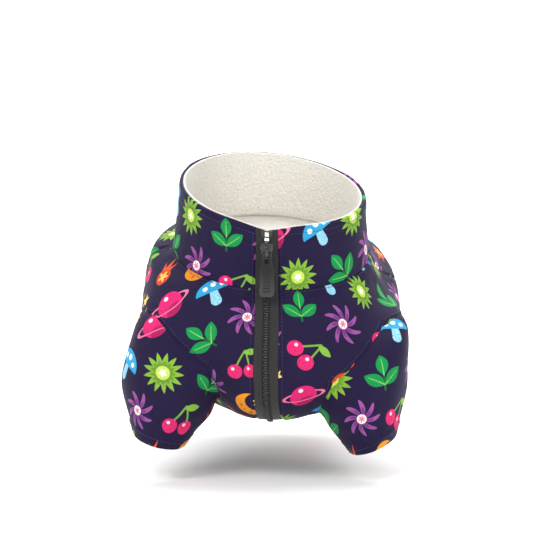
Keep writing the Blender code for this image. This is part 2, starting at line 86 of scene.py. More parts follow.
# Torso and sleeves
SHOULDER_WIDTH = 0.200
CHEST_DEPTH = 0.151
BACK_LENGTH = 0.230
ARMHOLE_DEPTH = 0.086
ARMHOLE_TOP = 0.4040 * CHEST_DEPTH
SLEEVE_LENGTH = 0.100
SLEEVES_HALF_WIDTH = 0.100
SLEEVE_SETBACK = 0.4087 * BACK_LENGTH

# Zip
ZIP_WIDTH = 0.0160
CHAIN_WIDTH = 0.0034
TAPE = 0.0012
TAPE_SINK = 0.0004
CHAIN_RISE = 0.0009
CHAIN_SINK = 0.0017
TOOTH_PITCH = 0.0038
CORE_SINK = 0.0007

# Slider and pull
SLIDER_WIDTH = 0.0096
SLIDER_HEIGHT = 0.0130
SLIDER_PLATE = 0.0016
SLIDER_REAR_PLATE = 0.0012
SLIDER_CLEARANCE = 0.0003
POST_WIDTH = 0.0022
POST_HEIGHT = 0.0026
ARCH_WIDTH = 0.0026
ARCH_HEIGHT = 0.0092
ARCH_BAR = 0.0014
ARCH_WINDOW = 0.0028
PULL_LENGTH = 0.0330
PULL_WIDTH = 0.0112
PULL_NECK_WIDTH = 0.0080
PULL_THICKNESS = 0.0016
PULL_SLOT_CLEARANCE = 0.0006
PULL_SLOT_END = 0.0074
PULL_SHOULDER = 0.0120
PULL_CORNER = 0.0030

# The skin's grid, as in the CAD solids
SIDE_COLUMNS = 25
ROWS_PER_SECTION = 2
COLLAR_ROWS = 6
CHAIN_TOP_ROW = 4
SLEEVE_ROWS = 8
RELAX_ROUNDS = 60
RELAX_REACH = 0.020
SOFTEN_ROUNDS = 8
SOFTEN_REACH = 0.014
FINE_LEVELS = 3

Section = namedtuple("Section", "front_y front_z back_y back_z left right full roll zip_x")

# front_y, back_y: shares of BACK_LENGTH. front_z, back_z: shares of CHEST_DEPTH.
# left, right, roll, zip_x: shares of half of SHOULDER_WIDTH. full: the ring's exponent.
TORSO = [
    Section(-0.572, -0.405, 0.050, 0.010, 0.875, 0.800, 2.35, 0.025, -0.010),
    Section(-0.600, -0.520, 0.110, 0.018, 0.905, 0.840, 2.50, 0.035, -0.012),
    Section(-0.617, -0.645, 0.180, 0.018, 0.930, 0.910, 2.45, 0.045, -0.020),
    Section(-0.613, -0.770, 0.258, 0.004, 0.960, 1.010, 2.45, 0.050, -0.018),
    Section(-0.580, -0.890, 0.345, -0.015, 0.935, 1.010, 2.45, 0.040, -0.010),
    Section(-0.510, -0.968, 0.438, -0.035, 0.895, 0.930, 2.40, 0.030, 0.010),
    Section(-0.400, -0.997, 0.535, -0.055, 0.860, 0.880, 2.45, 0.020, 0.020),
    Section(-0.265, -1.000, 0.615, -0.072, 0.835, 0.850, 2.45, 0.010, 0.010),
    Section(-0.115, -0.990, 0.695, -0.090, 0.815, 0.825, 2.40, 0.000, 0.000),
    Section(0.045, -0.978, 0.775, -0.110, 0.800, 0.808, 2.35, 0.000, 0.000),
    Section(0.210, -0.970, 0.850, -0.135, 0.790, 0.797, 2.30, 0.000, 0.000),
    Section(0.375, -0.965, 0.925, -0.165, 0.785, 0.790, 2.30, 0.000, 0.000),
    Section(0.540, -0.965, 1.000, -0.200, 0.785, 0.790, 2.30, 0.000, 0.000),
]

# out and inn are a ring's outermost and innermost points in the front view: their x as
# shares of SLEEVES_HALF_WIDTH, and their z as shares of SLEEVE_LENGTH below ARMHOLE_TOP.
SleeveRing = namedtuple("SleeveRing", "out_x out_z inn_x inn_z lift deep back")

SLEEVE_LEFT = [
    SleeveRing(0.965, 0.000, 0.375, 0.670, 0.070, 1.00, 0.00),
    SleeveRing(1.015, 0.170, 0.385, 0.750, 0.030, 0.97, 0.01),
    SleeveRing(1.070, 0.400, 0.400, 0.820, 0.000, 0.92, 0.02),
    SleeveRing(1.100, 0.570, 0.455, 0.880, -0.020, 0.85, 0.03),
    SleeveRing(1.080, 0.720, 0.535, 0.950, -0.035, 0.77, 0.04),
    SleeveRing(1.045, 0.850, 0.590, 1.015, -0.045, 0.70, 0.05),
    SleeveRing(1.012, 0.960, 0.622, 1.052, -0.055, 0.64, 0.06),
]
SLEEVE_RIGHT = [
    SleeveRing(1.075, 0.000, 0.412, 0.850, 0.060, 1.00, 0.00),
    SleeveRing(1.070, 0.200, 0.418, 0.900, 0.030, 0.97, 0.01),
    SleeveRing(1.056, 0.410, 0.435, 0.940, 0.000, 0.92, 0.02),
    SleeveRing(1.045, 0.580, 0.480, 0.970, -0.015, 0.85, 0.03),
    SleeveRing(1.020, 0.740, 0.540, 1.035, -0.025, 0.77, 0.04),
    SleeveRing(0.990, 0.870, 0.590, 1.085, -0.035, 0.70, 0.05),
    SleeveRing(0.965, 0.975, 0.615, 1.118, -0.040, 0.64, 0.06),
]
HOLE_FRONT_ROW = 6
HOLE_REAR_ROW = 14
HOLE_INNER_COLUMN = 3
HOLE_OUTER_COLUMN = 9
SEAM_COLUMN = 13

# A fold runs straight between two points, which are shares of half of SHOULDER_WIDTH,
# of BACK_LENGTH and of CHEST_DEPTH. width and rise are in metres.
Fold = namedtuple("Fold", "ax ay az bx by bz width rise")
MAIN_FOLDS = [
    Fold(-0.42, -0.60, -0.80, -0.12, -0.62, -0.66, 0.009, 0.0022),
    Fold(0.46, -0.60, -0.84, 0.14, -0.62, -0.70, 0.009, 0.0022),
    Fold(-0.70, -0.52, -0.28, -0.30, -0.60, -0.46, 0.012, 0.0020),
    Fold(0.74, -0.52, -0.30, 0.34, -0.60, -0.50, 0.012, 0.0020),
    Fold(-1.05, -0.40, -0.78, -0.62, -0.58, -0.92, 0.009, 0.0024),
    Fold(1.00, -0.40, -0.80, 0.62, -0.58, -0.97, 0.009, 0.0024),
    Fold(-0.85, -0.10, -0.62, -0.60, 0.30, -0.10, 0.014, 0.0028),
    Fold(0.87, -0.10, -0.62, 0.60, 0.30, -0.10, 0.014, 0.0028),
    Fold(-0.82, 0.16, -0.74, -0.40, 0.66, -0.08, 0.014, -0.0026),
    Fold(0.82, 0.16, -0.74, 0.40, 0.66, -0.08, 0.014, -0.0026),
    Fold(-0.55, 0.06, -0.98, 0.55, 0.06, -0.98, 0.013, -0.0020),
    Fold(-0.30, 0.10, 0.01, 0.30, 0.10, 0.01, 0.012, 0.0018),
]
# Smaller creases at the armholes, the collar and the cuffs
CREASES = [
    Fold(-0.40, -0.58, -0.86, -0.22, -0.60, -0.60, 0.0050, 0.0011),
    Fold(-0.36, -0.56, -0.90, -0.10, -0.60, -0.82, 0.0045, 0.0010),
    Fold(0.44, -0.58, -0.90, 0.26, -0.60, -0.62, 0.0050, 0.0011),
    Fold(0.42, -0.56, -0.95, 0.14, -0.60, -0.86, 0.0045, 0.0010),
    Fold(-0.44, -0.55, -0.88, -0.72, -0.60, -0.80, 0.0055, 0.0012),
    Fold(-0.48, -0.53, -0.97, -0.80, -0.60, -0.92, 0.0050, 0.0010),
    Fold(0.46, -0.55, -0.98, 0.74, -0.60, -0.86, 0.0055, 0.0012),
    Fold(0.52, -0.53, -1.03, 0.84, -0.60, -0.96, 0.0050, 0.0010),
    Fold(-0.95, -0.50, -0.46, -0.72, -0.60, -0.58, 0.0060, 0.0010),
    Fold(0.98, -0.50, -0.48, 0.76, -0.60, -0.60, 0.0060, 0.0010),
    Fold(-0.60, -0.54, -0.10, -0.38, -0.60, -0.22, 0.0060, -0.0008),
    Fold(0.60, -0.54, -0.10, 0.40, -0.60, -0.24, 0.0060, -0.0008),
    Fold(-0.78, -0.30, -0.30, -0.86, -0.10, -0.52, 0.0070, 0.0014),
    Fold(0.78, -0.30, -0.30, 0.88, -0.10, -0.52, 0.0070, 0.0014),
    Fold(-0.76, 0.02, -0.80, -0.70, 0.34, -0.56, 0.0070, 0.0014),
    Fold(0.77, 0.04, -0.80, 0.71, 0.36, -0.54, 0.0070, 0.0014),
    Fold(-0.40, 0.30, -0.02, 0.34, 0.36, -0.03, 0.0080, 0.0012),
    Fold(-0.20, 0.56, -0.06, 0.44, 0.50, -0.07, 0.0080, 0.0012),
]

CLOTH_PIECES = ("front_left", "front_right", "back", "sleeve_left", "sleeve_right", "collar")
TAPE_PIECES = ("zip_tape_left", "zip_tape_right")
SKIN_PIECES = CLOTH_PIECES + TAPE_PIECES + ("zip_chain",)

# The direction in which each pattern piece's length runs, and the print's shift on it
GRAIN = {
    "front_left": ((0, 0, 1), (0.000, 0.000)),
    "front_right": ((0, 0, 1), (0.310, 0.118)),
    "back": ((0, -1, 0), (0.650, 0.240)),
    "sleeve_left": ((0, 0, 1), (0.105, 0.410)),
    "sleeve_right": ((0, 0, 1), (0.520, 0.050)),
    "collar": ((0, 0, 1), (0.220, 0.590)),
    "zip_tape_left": ((0, 0, 1), (0, 0)),
    "zip_tape_right": ((0, 0, 1), (0, 0)),
    "zip_chain": ((0, 0, 1), (0, 0)),
}

# Hems, seams and stitches
HEM_DEPTH = 0.0110
HEM_RISE = 0.0007
SEAM_SLIT = -0.0002
SEAM_DIP = 0.0008
SEAM_REACH = 0.0017
PUCKER = 0.0007
PUCKER_REACH = 0.0090
PUCKER_SIZE = 0.0075
RIPPLE = 0.0010
RIPPLE_SIZE = 0.0260
STITCH_PITCH = 0.0028
STITCH_LENGTH = 0.0021
STITCH_THICKNESS = 0.00042

NARROWEST_SHEET = 0.0102

# Print
MOTIF_SCALE = 1.24
MOTIF_SPREAD = 0.16
MOTIF_CELL_WIDTH = 0.0365
MOTIF_CELL_HEIGHT = 0.0325
MOTIF_JITTER = 0.0020
MOTIF_TURN = 1.3

# Stage, from the photograph's 533 by 533 frame
METRES_PER_PIXEL = 0.00075
IMAGE_SIZE = 533
MIDDLE_COLUMN = 268
ORIGIN_ROW = 221
FLOOR_ROW = 478
CAMERA_DISTANCE = 2.2
CAMERA_ELEVATION = math.radians(4)
CAMERA_TARGET_Y = -0.095

Skin = namedtuple("Skin", "points faces normals index")
Fine = namedtuple("Fine", "points normals faces owner uv seam_distance hem_distance")


def smooth_row(rows, t):
    """A table's values at t, on a smooth curve through its rows."""
    last = len(rows) - 1
    i = min(int(t), last - 1)
    f = t - i
    before, here, after, beyond = (rows[min(max(k, 0), last)] for k in (i - 1, i, i + 1, i + 2))
    values = []
    for p0, p1, p2, p3 in zip(before, here, after, beyond):
        rise = (p2 - p0) / 2
        leave = (p3 - p1) / 2
        a = 2 * p1 - 2 * p2 + rise + leave
        b = -3 * p1 + 3 * p2 - 2 * rise - leave
        values.append(((a * f + b) * f + rise) * f + p1)
    return type(here)(*values)


def neck_section():
    half = NECK_WIDTH / 2
    return Section(
        -NECK_DEPTH, -NECK_DROP, 0.0, 0.0, 0.965 * half, 1.035 * half, 2.0, 0.04 * half, -0.013 * half
    )


def collar_top_section():
    half = COLLAR_WIDTH / 2
    front_y = -NECK_DEPTH - COLLAR_LEAN
    front_z = COLLAR_HEIGHT - NECK_DROP
    back_y = front_y + COLLAR_DEPTH
    return Section(
        front_y, front_z, back_y, COLLAR_HEIGHT, 0.945 * half, 1.045 * half, 2.0, COLLAR_ROLL, -0.013 * half
    )


def torso_sections():
    half = SHOULDER_WIDTH / 2
    sections = [neck_section()]
    for row in TORSO:
        sections.append(
            Section(
                row.front_y * BACK_LENGTH,
                row.front_z * CHEST_DEPTH,
                row.back_y * BACK_LENGTH,
                row.back_z * CHEST_DEPTH,
                row.left * half,
                row.right * half,
                row.full,
                row.roll * half,
                row.zip_x * half,
            )
        )
    return sections


def ring_angles(section):
    """The zip's three columns, then the columns from its left edge round to its right."""
    angles = []
    for half_zip, half in (
        (CHAIN_WIDTH / 2, section.left),
        (ZIP_WIDTH / 2, section.left),
        (ZIP_WIDTH / 2, section.right),
        (CHAIN_WIDTH / 2, section.right),
    ):
        angles.append(math.asin((half_zip / half) ** (section.full / 2)))
    near_left, left, right, near_right = angles
    around = [left + (math.pi - left) * k / SIDE_COLUMNS for k in range(SIDE_COLUMNS + 1)]
    back = [math.pi + (math.pi - right) * k / SIDE_COLUMNS for k in range(1, SIDE_COLUMNS + 1)]
    return [near_left] + around + back + [2 * math.pi - near_right]


def ring_point(section, angle):
    power = 2 / section.full
    across = math.copysign(abs(math.sin(angle)) ** power, -math.sin(angle))
    along = math.copysign(abs(math.cos(angle)) ** power, -math.cos(angle))
    x = across * (section.left if across < 0 else section.right)
    x += section.zip_x * max(0.0, -along) ** 3
    share = (along + 1) / 2
    y = section.front_y + (section.back_y - section.front_y) * share
    z = section.front_z + (section.back_z - section.front_z) * share
    return Vector((x, y, z - across * section.roll))


def ring(section):
    return [ring_point(section, angle) for angle in ring_angles(section)]


def torso_rings():
    sections = torso_sections()
    count = (len(sections) - 1) * ROWS_PER_SECTION
    return [ring(smooth_row(sections, k / ROWS_PER_SECTION)) for k in range(count + 1)]


def collar_rings():
    """Rings from just above the neck seam to the collar's edge, which dips at the zip."""
    base = neck_section()
    top = collar_top_section()
    rings = []
    for k in range(1, COLLAR_ROWS + 1):
        t = k / COLLAR_ROWS
        section = Section(*(a + (b - a) * t for a, b in zip(base, top)))
        points = ring(section)
        for point in points:
            near_zip = math.exp(-(((point.x - section.zip_x) / ZIP_WIDTH) ** 2))
            if point.y < (section.front_y + section.back_y) / 2:
                point.z -= COLLAR_DIP * near_zip * t
        rings.append(points)
    return rings


def hole_loop(side):
    """Grid places round one armhole, from the middle of its front edge outwards."""
    def column(k):
        return 1 + k if side < 0 else 1 + 2 * SIDE_COLUMNS - k

    middle = (HOLE_INNER_COLUMN + HOLE_OUTER_COLUMN) // 2
    places = [(HOLE_FRONT_ROW, k) for k in range(middle, HOLE_OUTER_COLUMN)]
    places += [(r, HOLE_OUTER_COLUMN) for r in range(HOLE_FRONT_ROW, HOLE_REAR_ROW)]
    places += [(HOLE_REAR_ROW, k) for k in range(HOLE_OUTER_COLUMN, HOLE_INNER_COLUMN, -1)]
    places += [(r, HOLE_INNER_COLUMN) for r in range(HOLE_REAR_ROW, HOLE_FRONT_ROW, -1)]
    places += [(HOLE_FRONT_ROW, k) for k in range(HOLE_INNER_COLUMN, middle)]
    return [(r, column(k)) for r, k in places]


def sleeve_ring(side, row, count):
    """Points of one sleeve ring, from its front point outwards and round."""
    out = Vector((side * row.out_x * SLEEVES_HALF_WIDTH, 0, -ARMHOLE_TOP - row.out_z * SLEEVE_LENGTH))
    inn = Vector((side * row.inn_x * SLEEVES_HALF_WIDTH, 0, -ARMHOLE_TOP - row.inn_z * SLEEVE_LENGTH))
    middle = (out + inn) / 2 + Vector((0, -SLEEVE_SETBACK - row.back * ARMHOLE_DEPTH, 0))
    across = (out - inn) / 2
    ahead = Vector((0, -row.deep * ARMHOLE_DEPTH / 2, row.lift * SLEEVE_LENGTH))
    points = []
    for k in range(count):
        angle = 2 * math.pi * k / count
        points.append(middle + across * math.sin(angle) + ahead * math.cos(angle))
    return points


def relax(rings, loops):
    """Spread the grid evenly over the torso and ease it into the armholes' edges."""
    rows, columns = len(rings), len(rings[0])
    flat = [point.copy() for points in rings for point in points]
    quads = []
    for r in range(rows - 1):
        for c in range(columns):
            d = (c + 1) % columns
            quads.append((r * columns + c, r * columns + d, (r + 1) * columns + d, (r + 1) * columns + c))
    base = BVHTree.FromPolygons(flat, quads)
    edge = {}
    inside = set()
    for side, loop in loops.items():
        target = sleeve_ring(side, (SLEEVE_LEFT if side < 0 else SLEEVE_RIGHT)[0], len(loop))
        edge.update(zip(loop, target))
        for r in range(HOLE_FRONT_ROW + 1, HOLE_REAR_ROW):
            for k in range(HOLE_INNER_COLUMN + 1, HOLE_OUTER_COLUMN):
                inside.add((r, 1 + k if side < 0 else 1 + 2 * SIDE_COLUMNS - k))
    for (r, c), point in edge.items():
        rings[r][c] = point.copy()
    zip_columns = {0, 1, columns - 2, columns - 1}
    free = [
        (r, c)
        for r in range(1, rows - 1)
        for c in range(columns)
        if (r, c) not in edge and (r, c) not in inside and c not in zip_columns
    ]
    for _ in range(RELAX_ROUNDS):
        moved = {}
        for r, c in free:
            around = rings[r - 1][c] + rings[r + 1][c] + rings[r][c - 1] + rings[r][(c + 1) % columns]
            mean = around / 4
            seat = base.find_nearest(mean)[0]
            near = min((mean - point).length for point in edge.values())
            ease = math.exp(-((near / RELAX_REACH) ** 2))
            moved[r, c] = seat.lerp(mean, ease)
        for (r, c), point in moved.items():
            rings[r][c] = point
    return inside


def fold_shift(point, folds):
    half = SHOULDER_WIDTH / 2
    shift = 0.0
    for fold in folds:
        a = Vector((fold.ax * half, fold.ay * BACK_LENGTH, fold.az * CHEST_DEPTH))
        b = Vector((fold.bx * half, fold.by * BACK_LENGTH, fold.bz * CHEST_DEPTH))
        run = b - a
        t = (point - a).dot(run) / run.length_squared
        off = (point - a - run * min(max(t, 0.0), 1.0)).length
        shift += fold.rise * math.exp(-((off / fold.width) ** 2))
    return shift


def panel_of(column, columns):
    """The torso piece that a grid cell belongs to."""
    if column == 0:
        return "zip_tape_left"
    if column == columns - 2:
        return "zip_tape_right"
    if column == columns - 1:
        return "zip_chain"
    if column <= SEAM_COLUMN:
        return "front_left"
    if column > columns - 3 - SEAM_COLUMN:
        return "front_right"
    return "back"


def build_skin():
    """All quads of the jacket's outside, each with the name of its piece."""
    torso = torso_rings()
    collar = collar_rings()
    loops = {side: hole_loop(side) for side in (-1, 1)}
    inside = relax(torso, loops)
    columns = len(torso[0])
    points, faces, index = [], [], {}

    def place(key, point):
        index[key] = len(points)
        points.append(point)

    for r, row in enumerate(torso):
        for c, point in enumerate(row):
            if (r, c) not in inside:
                place(("torso", r, c), point)
    for r, row in enumerate(collar):
        for c, point in enumerate(row):
            place(("torso", -1 - r, c), point)

    def cell(r, c):
        d = (c + 1) % columns
        return [("torso", r, c), ("torso", r, d), ("torso", r + 1, d), ("torso", r + 1, c)]

    for r in range(-COLLAR_ROWS, len(torso) - 1):
        for c in range(columns):
            keys = cell(r, c)
            if is_hole(r, c):
                continue
            name = panel_of(c, columns)
            if r < 0 and name in ("front_left", "front_right", "back"):
                name = "collar"
            if name == "zip_chain" and r < -CHAIN_TOP_ROW:
                continue
            faces.append(([index[key] for key in keys], name))

    for side, loop in loops.items():
        table = SLEEVE_LEFT if side < 0 else SLEEVE_RIGHT
        name = "sleeve_left" if side < 0 else "sleeve_right"
        rings = [[index[("torso", r, c)] for r, c in loop]]
        for k in range(1, SLEEVE_ROWS + 1):
            row = smooth_row(table, k * (len(table) - 1) / SLEEVE_ROWS)
            made = []
            for point in sleeve_ring(side, row, len(loop)):
                made.append(len(points))
                points.append(point)
            rings.append(made)
        for upper, lower in zip(rings, rings[1:]):
            for k in range(len(loop)):
                m = (k + 1) % len(loop)
                quad = [upper[k], upper[m], lower[m], lower[k]]
                faces.append((quad if side < 0 else quad[::-1], name))

    soften(points, faces, [[index["torso", r, c] for r, c in loop] for loop in loops.values()])
    normals = vertex_normals(points, faces)
    points = [point + normal * fold_shift(point, MAIN_FOLDS) for point, normal in zip(points, normals)]
    return Skin(points, faces, vertex_normals(points, faces), index)


def soften(points, faces, loops):
    """Round the crease along the armhole seams and even out the seams themselves."""
    rims = [points[i].copy() for loop in loops for i in loop]
    around = {}
    for quad, _ in faces:
        for k, i in enumerate(quad):
            around.setdefault(i, set()).update((quad[k - 1], quad[(k + 1) % len(quad)]))
    eases = {}
    for i, point in enumerate(points):
        near = min((point - rim).length for rim in rims)
        ease = math.exp(-((near / SOFTEN_REACH) ** 2))
        if ease > 0.02 and i in around and len(around[i]) > 3:
            eases[i] = ease / 2
    for _ in range(SOFTEN_ROUNDS):
        moved = {}
        for i, ease in eases.items():
            mean = sum((points[j] for j in around[i]), Vector()) / len(around[i])
            moved[i] = points[i].lerp(mean, ease)
        for i, point in moved.items():
            points[i] = point
        for loop in loops:
            even = [(points[loop[k - 1]] + points[loop[(k + 1) % len(loop)]]) / 2 for k in range(len(loop))]
            for i, point in zip(loop, even):
                points[i] = points[i].lerp(point, 0.5)


def is_hole(r, c):
    if not HOLE_FRONT_ROW <= r < HOLE_REAR_ROW:
        return False
    left = 1 + HOLE_INNER_COLUMN <= c < 1 + HOLE_OUTER_COLUMN
    mirrored = 2 * SIDE_COLUMNS + 1 - c
    right = HOLE_INNER_COLUMN < mirrored <= HOLE_OUTER_COLUMN
    return left or right


def vertex_normals(points, faces):
    sums = [Vector((0, 0, 0)) for _ in points]
    for quad, _ in faces:
        a, b, c, d = (points[i] for i in quad)
        normal = (c - a).cross(d - b)
        for i in quad:
            sums[i] += normal
    return [total.normalized() if total.length else Vector((0, 0, 1)) for total in sums]


# Pattern pieces


def link(name, data):
    thing = bpy.data.objects.new(name, data)
    bpy.context.collection.objects.link(thing)
    return thing


def drop(thing):
    bpy.data.objects.remove(thing, do_unlink=True)


def flatten(name, skin):
    """Unwrap one piece of the skin as its pattern piece, in metres, for each face corner."""
    quads = [quad for quad, piece in skin.faces if piece == name]
    used = sorted({i for quad in quads for i in quad})
    local = {i: k for k, i in enumerate(used)}
    data = bpy.data.meshes.new(name + "_pattern")
    data.from_pydata([skin.points[i] for i in used], [], [[local[i] for i in quad] for quad in quads])
    data.uv_layers.new(name="cloth")
    if name.startswith("sleeve"):
        mark_sleeve_seam(data, skin, name, local)
    thing = link(name + "_pattern", data)
    bpy.context.view_layer.objects.active = thing
    thing.select_set(True)
    bpy.ops.object.mode_set(mode="EDIT")
    bpy.ops.mesh.select_all(action="SELECT")
    bpy.ops.uv.unwrap(method="MINIMUM_STRETCH", margin=0.0)
    bpy.ops.object.mode_set(mode="OBJECT")
    uv = np.array([corner.uv[:] for corner in data.uv_layers["cloth"].data]).reshape(-1, 4, 2)
    corners = np.array([[skin.points[i][:] for i in quad] for quad in quads])
    drop(thing)
    return to_scale(uv, corners, GRAIN[name], is_strip=name not in CLOTH_PIECES)


def mark_sleeve_seam(data, skin, name, local):
    """The sleeve's own seam runs down its inner back, from the armhole to the cuff."""
    count = 2 * (HOLE_REAR_ROW - HOLE_FRONT_ROW + HOLE_OUTER_COLUMN - HOLE_INNER_COLUMN)
    quads = [quad for quad, piece in skin.faces if piece == name]
    seam_place = int(count * 0.62)
    pairs = set()
    for row in range(SLEEVE_ROWS):
        quad = quads[row * count + seam_place]
        upper, lower = (quad[0], quad[3]) if name == "sleeve_left" else (quad[3], quad[0])
        pairs.add(frozenset((local[upper], local[lower])))
    for edge in data.edges:
        if frozenset(edge.vertices) in pairs:
            edge.use_seam = True


def to_scale(uv, corners, grain, is_strip):
    """Scale an unwrapped piece to its real area and turn it to its grain.

    A strip is turned so that its length runs upright.
    """
    axis, shift = grain
    solid = np.cross(corners[:, 2] - corners[:, 0], corners[:, 3] - corners[:, 1])
    flat_a, flat_b = uv[:, 2] - uv[:, 0], uv[:, 3] - uv[:, 1]
    flat = flat_a[:, 0] * flat_b[:, 1] - flat_a[:, 1] * flat_b[:, 0]
    uv = uv * math.sqrt(np.linalg.norm(solid, axis=1).sum() / abs(flat.sum()))
    run = corners.reshape(-1, 3) @ np.array(axis, dtype=float)
    plane = np.column_stack([uv.reshape(-1, 2), np.ones(len(run))])
    slope = np.linalg.lstsq(plane, run, rcond=None)[0][:2]
    if is_strip:
        length = np.linalg.eigh(np.cov(plane[:, :2].T))[1][:, 1]
        slope = length * np.sign(length @ slope)
    angle = math.pi / 2 - math.atan2(slope[1], slope[0])
    turn = np.array([[math.cos(angle), -math.sin(angle)], [math.sin(angle), math.cos(angle)]])
    uv = uv @ turn.T
    return uv - uv.reshape(-1, 2).min(axis=0) + np.array(shift)


def refine(skin):
    """The skin subdivided, with its normals, pattern coordinates and edge distances."""
    data = bpy.data.meshes.new("skin")
    ordered = [face for name in SKIN_PIECES for face in skin.faces if face[1] == name]
    data.from_pydata(skin.points, [], [quad for quad, _ in ordered])
    layer = data.uv_layers.new(name="cloth")
    flat = np.concatenate([flatten(name, skin) for name in SKIN_PIECES])
    layer.data.foreach_set("uv", flat.reshape(-1))
    data.polygons.foreach_set("material_index", [SKIN_PIECES.index(name) for _, name in ordered])
    thing = link("skin", data)
    smoother = thing.modifiers.new("smoother", "SUBSURF")
    smoother.levels = FINE_LEVELS
    smoother.render_levels = FINE_LEVELS
    smoother.boundary_smooth = "PRESERVE_CORNERS"
    made = bpy.data.meshes.new_from_object(thing.evaluated_get(bpy.context.evaluated_depsgraph_get()))
    count, quads = len(made.vertices), len(made.polygons)
    points = np.empty(count * 3)
    made.vertices.foreach_get("co", points)
    faces = np.empty(quads * 4, dtype=np.int64)
    made.loops.foreach_get("vertex_index", faces)
    owner = np.empty(quads, dtype=np.int32)
    made.polygons.foreach_get("material_index", owner)
    uv = np.empty(quads * 8)
    made.uv_layers["cloth"].data.foreach_get("uv", uv)
    drop(thing)
    points, faces = points.reshape(-1, 3), faces.reshape(-1, 4)
    normals = fine_normals(points, faces)
    seams, hems = edge_points(faces, owner, count)
    return Fine(
        points,
        normals,
        faces,
        owner,
        uv.reshape(-1, 4, 2),
        distance_to(points, seams),
        distance_to(points, hems),
    )


def fine_normals(points, faces):
    cross = np.cross(
        points[faces[:, 2]] - points[faces[:, 0]], points[faces[:, 3]] - points[faces[:, 1]]
    )
    normals = np.zeros_like(points)
    for k in range(4):
        np.add.at(normals, faces[:, k], cross)
    return normals / np.maximum(np.linalg.norm(normals, axis=1, keepdims=True), 1e-12)


def edge_points(faces, owner, count):
    """Which points lie on a seam between two pieces, and which on a free cloth edge."""
    starts = faces.reshape(-1)
    ends = np.roll(faces, -1, axis=1).reshape(-1)
    owners = np.repeat(owner, 4)
    keys = np.minimum(starts, ends) * count + np.maximum(starts, ends)
    order = np.argsort(keys, kind="stable")
    keys, owners = keys[order], owners[order]
    same = keys[1:] == keys[:-1]
    seam_keys = keys[1:][same & (owners[1:] != owners[:-1])]
    single = np.ones(len(keys), dtype=bool)
    single[1:] &= ~same
    single[:-1] &= ~same
    free_keys = keys[single]
    seams = np.unique(np.concatenate([seam_keys // count, seam_keys % count]))
    hems = np.unique(np.concatenate([free_keys // count, free_keys % count]))
    return seams, hems


def distance_to(points, chosen):
    tree = KDTree(len(chosen))
    for k, i in enumerate(chosen):
        tree.insert(points[i], k)
    tree.balance()
    return np.array([tree.find(point)[2] for point in points])


def cloth_relief(fine):
    """How far each point of the cloth stands off the plain skin."""
    relief = HEM_RISE * np.clip((HEM_DEPTH - fine.hem_distance) / 0.0012, 0, 1)
    relief -= 0.5 * HEM_RISE * np.exp(-(((fine.hem_distance - HEM_DEPTH + 0.0010) / 0.0007) ** 2))
    seam_near = np.exp(-((fine.seam_distance / SEAM_REACH) ** 2))
    relief -= SEAM_DIP * seam_near
    edge_near = np.exp(-np.minimum(fine.seam_distance, fine.hem_distance + 0.004) / PUCKER_REACH)
    for i, point in enumerate(fine.points):
        spot = Vector(point)
        relief[i] += fold_shift(spot, CREASES)
        relief[i] += RIPPLE * noise.noise(spot / RIPPLE_SIZE)
        relief[i] += PUCKER * edge_near[i] * noise.noise(spot / PUCKER_SIZE)
    return relief


def wall(name, fine, source, out, into, relief, materials, inner_relief=None):
    """A closed wall of cloth on one piece of the refined skin, with rounded edges."""
    rows = np.flatnonzero(fine.owner == SKIN_PIECES.index(source))
    faces = fine.faces[rows]
    used, local = np.unique(faces, return_inverse=True)
    local = local.reshape(-1, 4)
    count = len(used)
    points, normals = fine.points[used], fine.normals[used]
    border = border_edges(local, count)
    pull = np.zeros_like(points)
    centres = points[local].mean(axis=1)
    sums, times = np.zeros_like(points), np.zeros(count)
    for k in range(4):
        np.add.at(sums, local[:, k], centres)
        np.add.at(times, local[:, k], 1)
    rim = np.unique(border)
    inward = sums[rim] / times[rim, None] - points[rim]
    inward -= normals[rim] * (inward * normals[rim]).sum(axis=1, keepdims=True)
    inward /= np.linalg.norm(inward, axis=1, keepdims=True)
    pull[rim] = inward
    base = points + pull * SEAM_SLIT / 2
    if inner_relief is None:
        inner_relief = relief
    outer = base + normals * (out + relief[used])[:, None]
    inner = base - normals * (into - inner_relief[used])[:, None]
    middle = (outer[rim] + inner[rim]) / 2
    bulge = (outer[rim] - inner[rim]) / 2
    slot_of = np.full(count, -1)
    slot_of[rim] = np.arange(len(rim))
    verts = [outer + pull * 0.0006, inner + pull * 0.0006]
    for angle in (45, 90, 135):
        turn = math.radians(angle)
        ring_at = middle + bulge * math.cos(turn) + inward * 0.0006 * (1 - math.sin(turn))
        verts.append(ring_at)
    starts = [0, count, 2 * count, 2 * count + len(rim), 2 * count + 2 * len(rim)]
    a, b = border[:, 0], border[:, 1]
    columns_a = [a, slot_of[a] + starts[2], slot_of[a] + starts[3], slot_of[a] + starts[4], a + count]
    columns_b = [b, slot_of[b] + starts[2], slot_of[b] + starts[3], slot_of[b] + starts[4], b + count]
    quads = [local, local[:, ::-1] + count]
    corner_uv = [fine.uv[rows], fine.uv[rows][:, ::-1]]
    inside = [np.zeros(len(local)), np.ones(len(local))]
    edge_uv = border_uv(local, fine.uv[rows], border)
    for k in range(4):
        quads.append(np.column_stack([columns_b[k], columns_a[k], columns_a[k + 1], columns_b[k + 1]]))
        corner_uv.append(edge_uv)
        inside.append(np.zeros(len(border)))
    return quad_piece(name, np.concatenate(verts), quads, corner_uv, inside, materials)


def border_edges(local, count):
    starts = local.reshape(-1)
    ends = np.roll(local, -1, axis=1).reshape(-1)
    forward = starts * count + ends
    lone = ~np.isin(forward, ends * count + starts)
    return np.column_stack([starts[lone], ends[lone]])


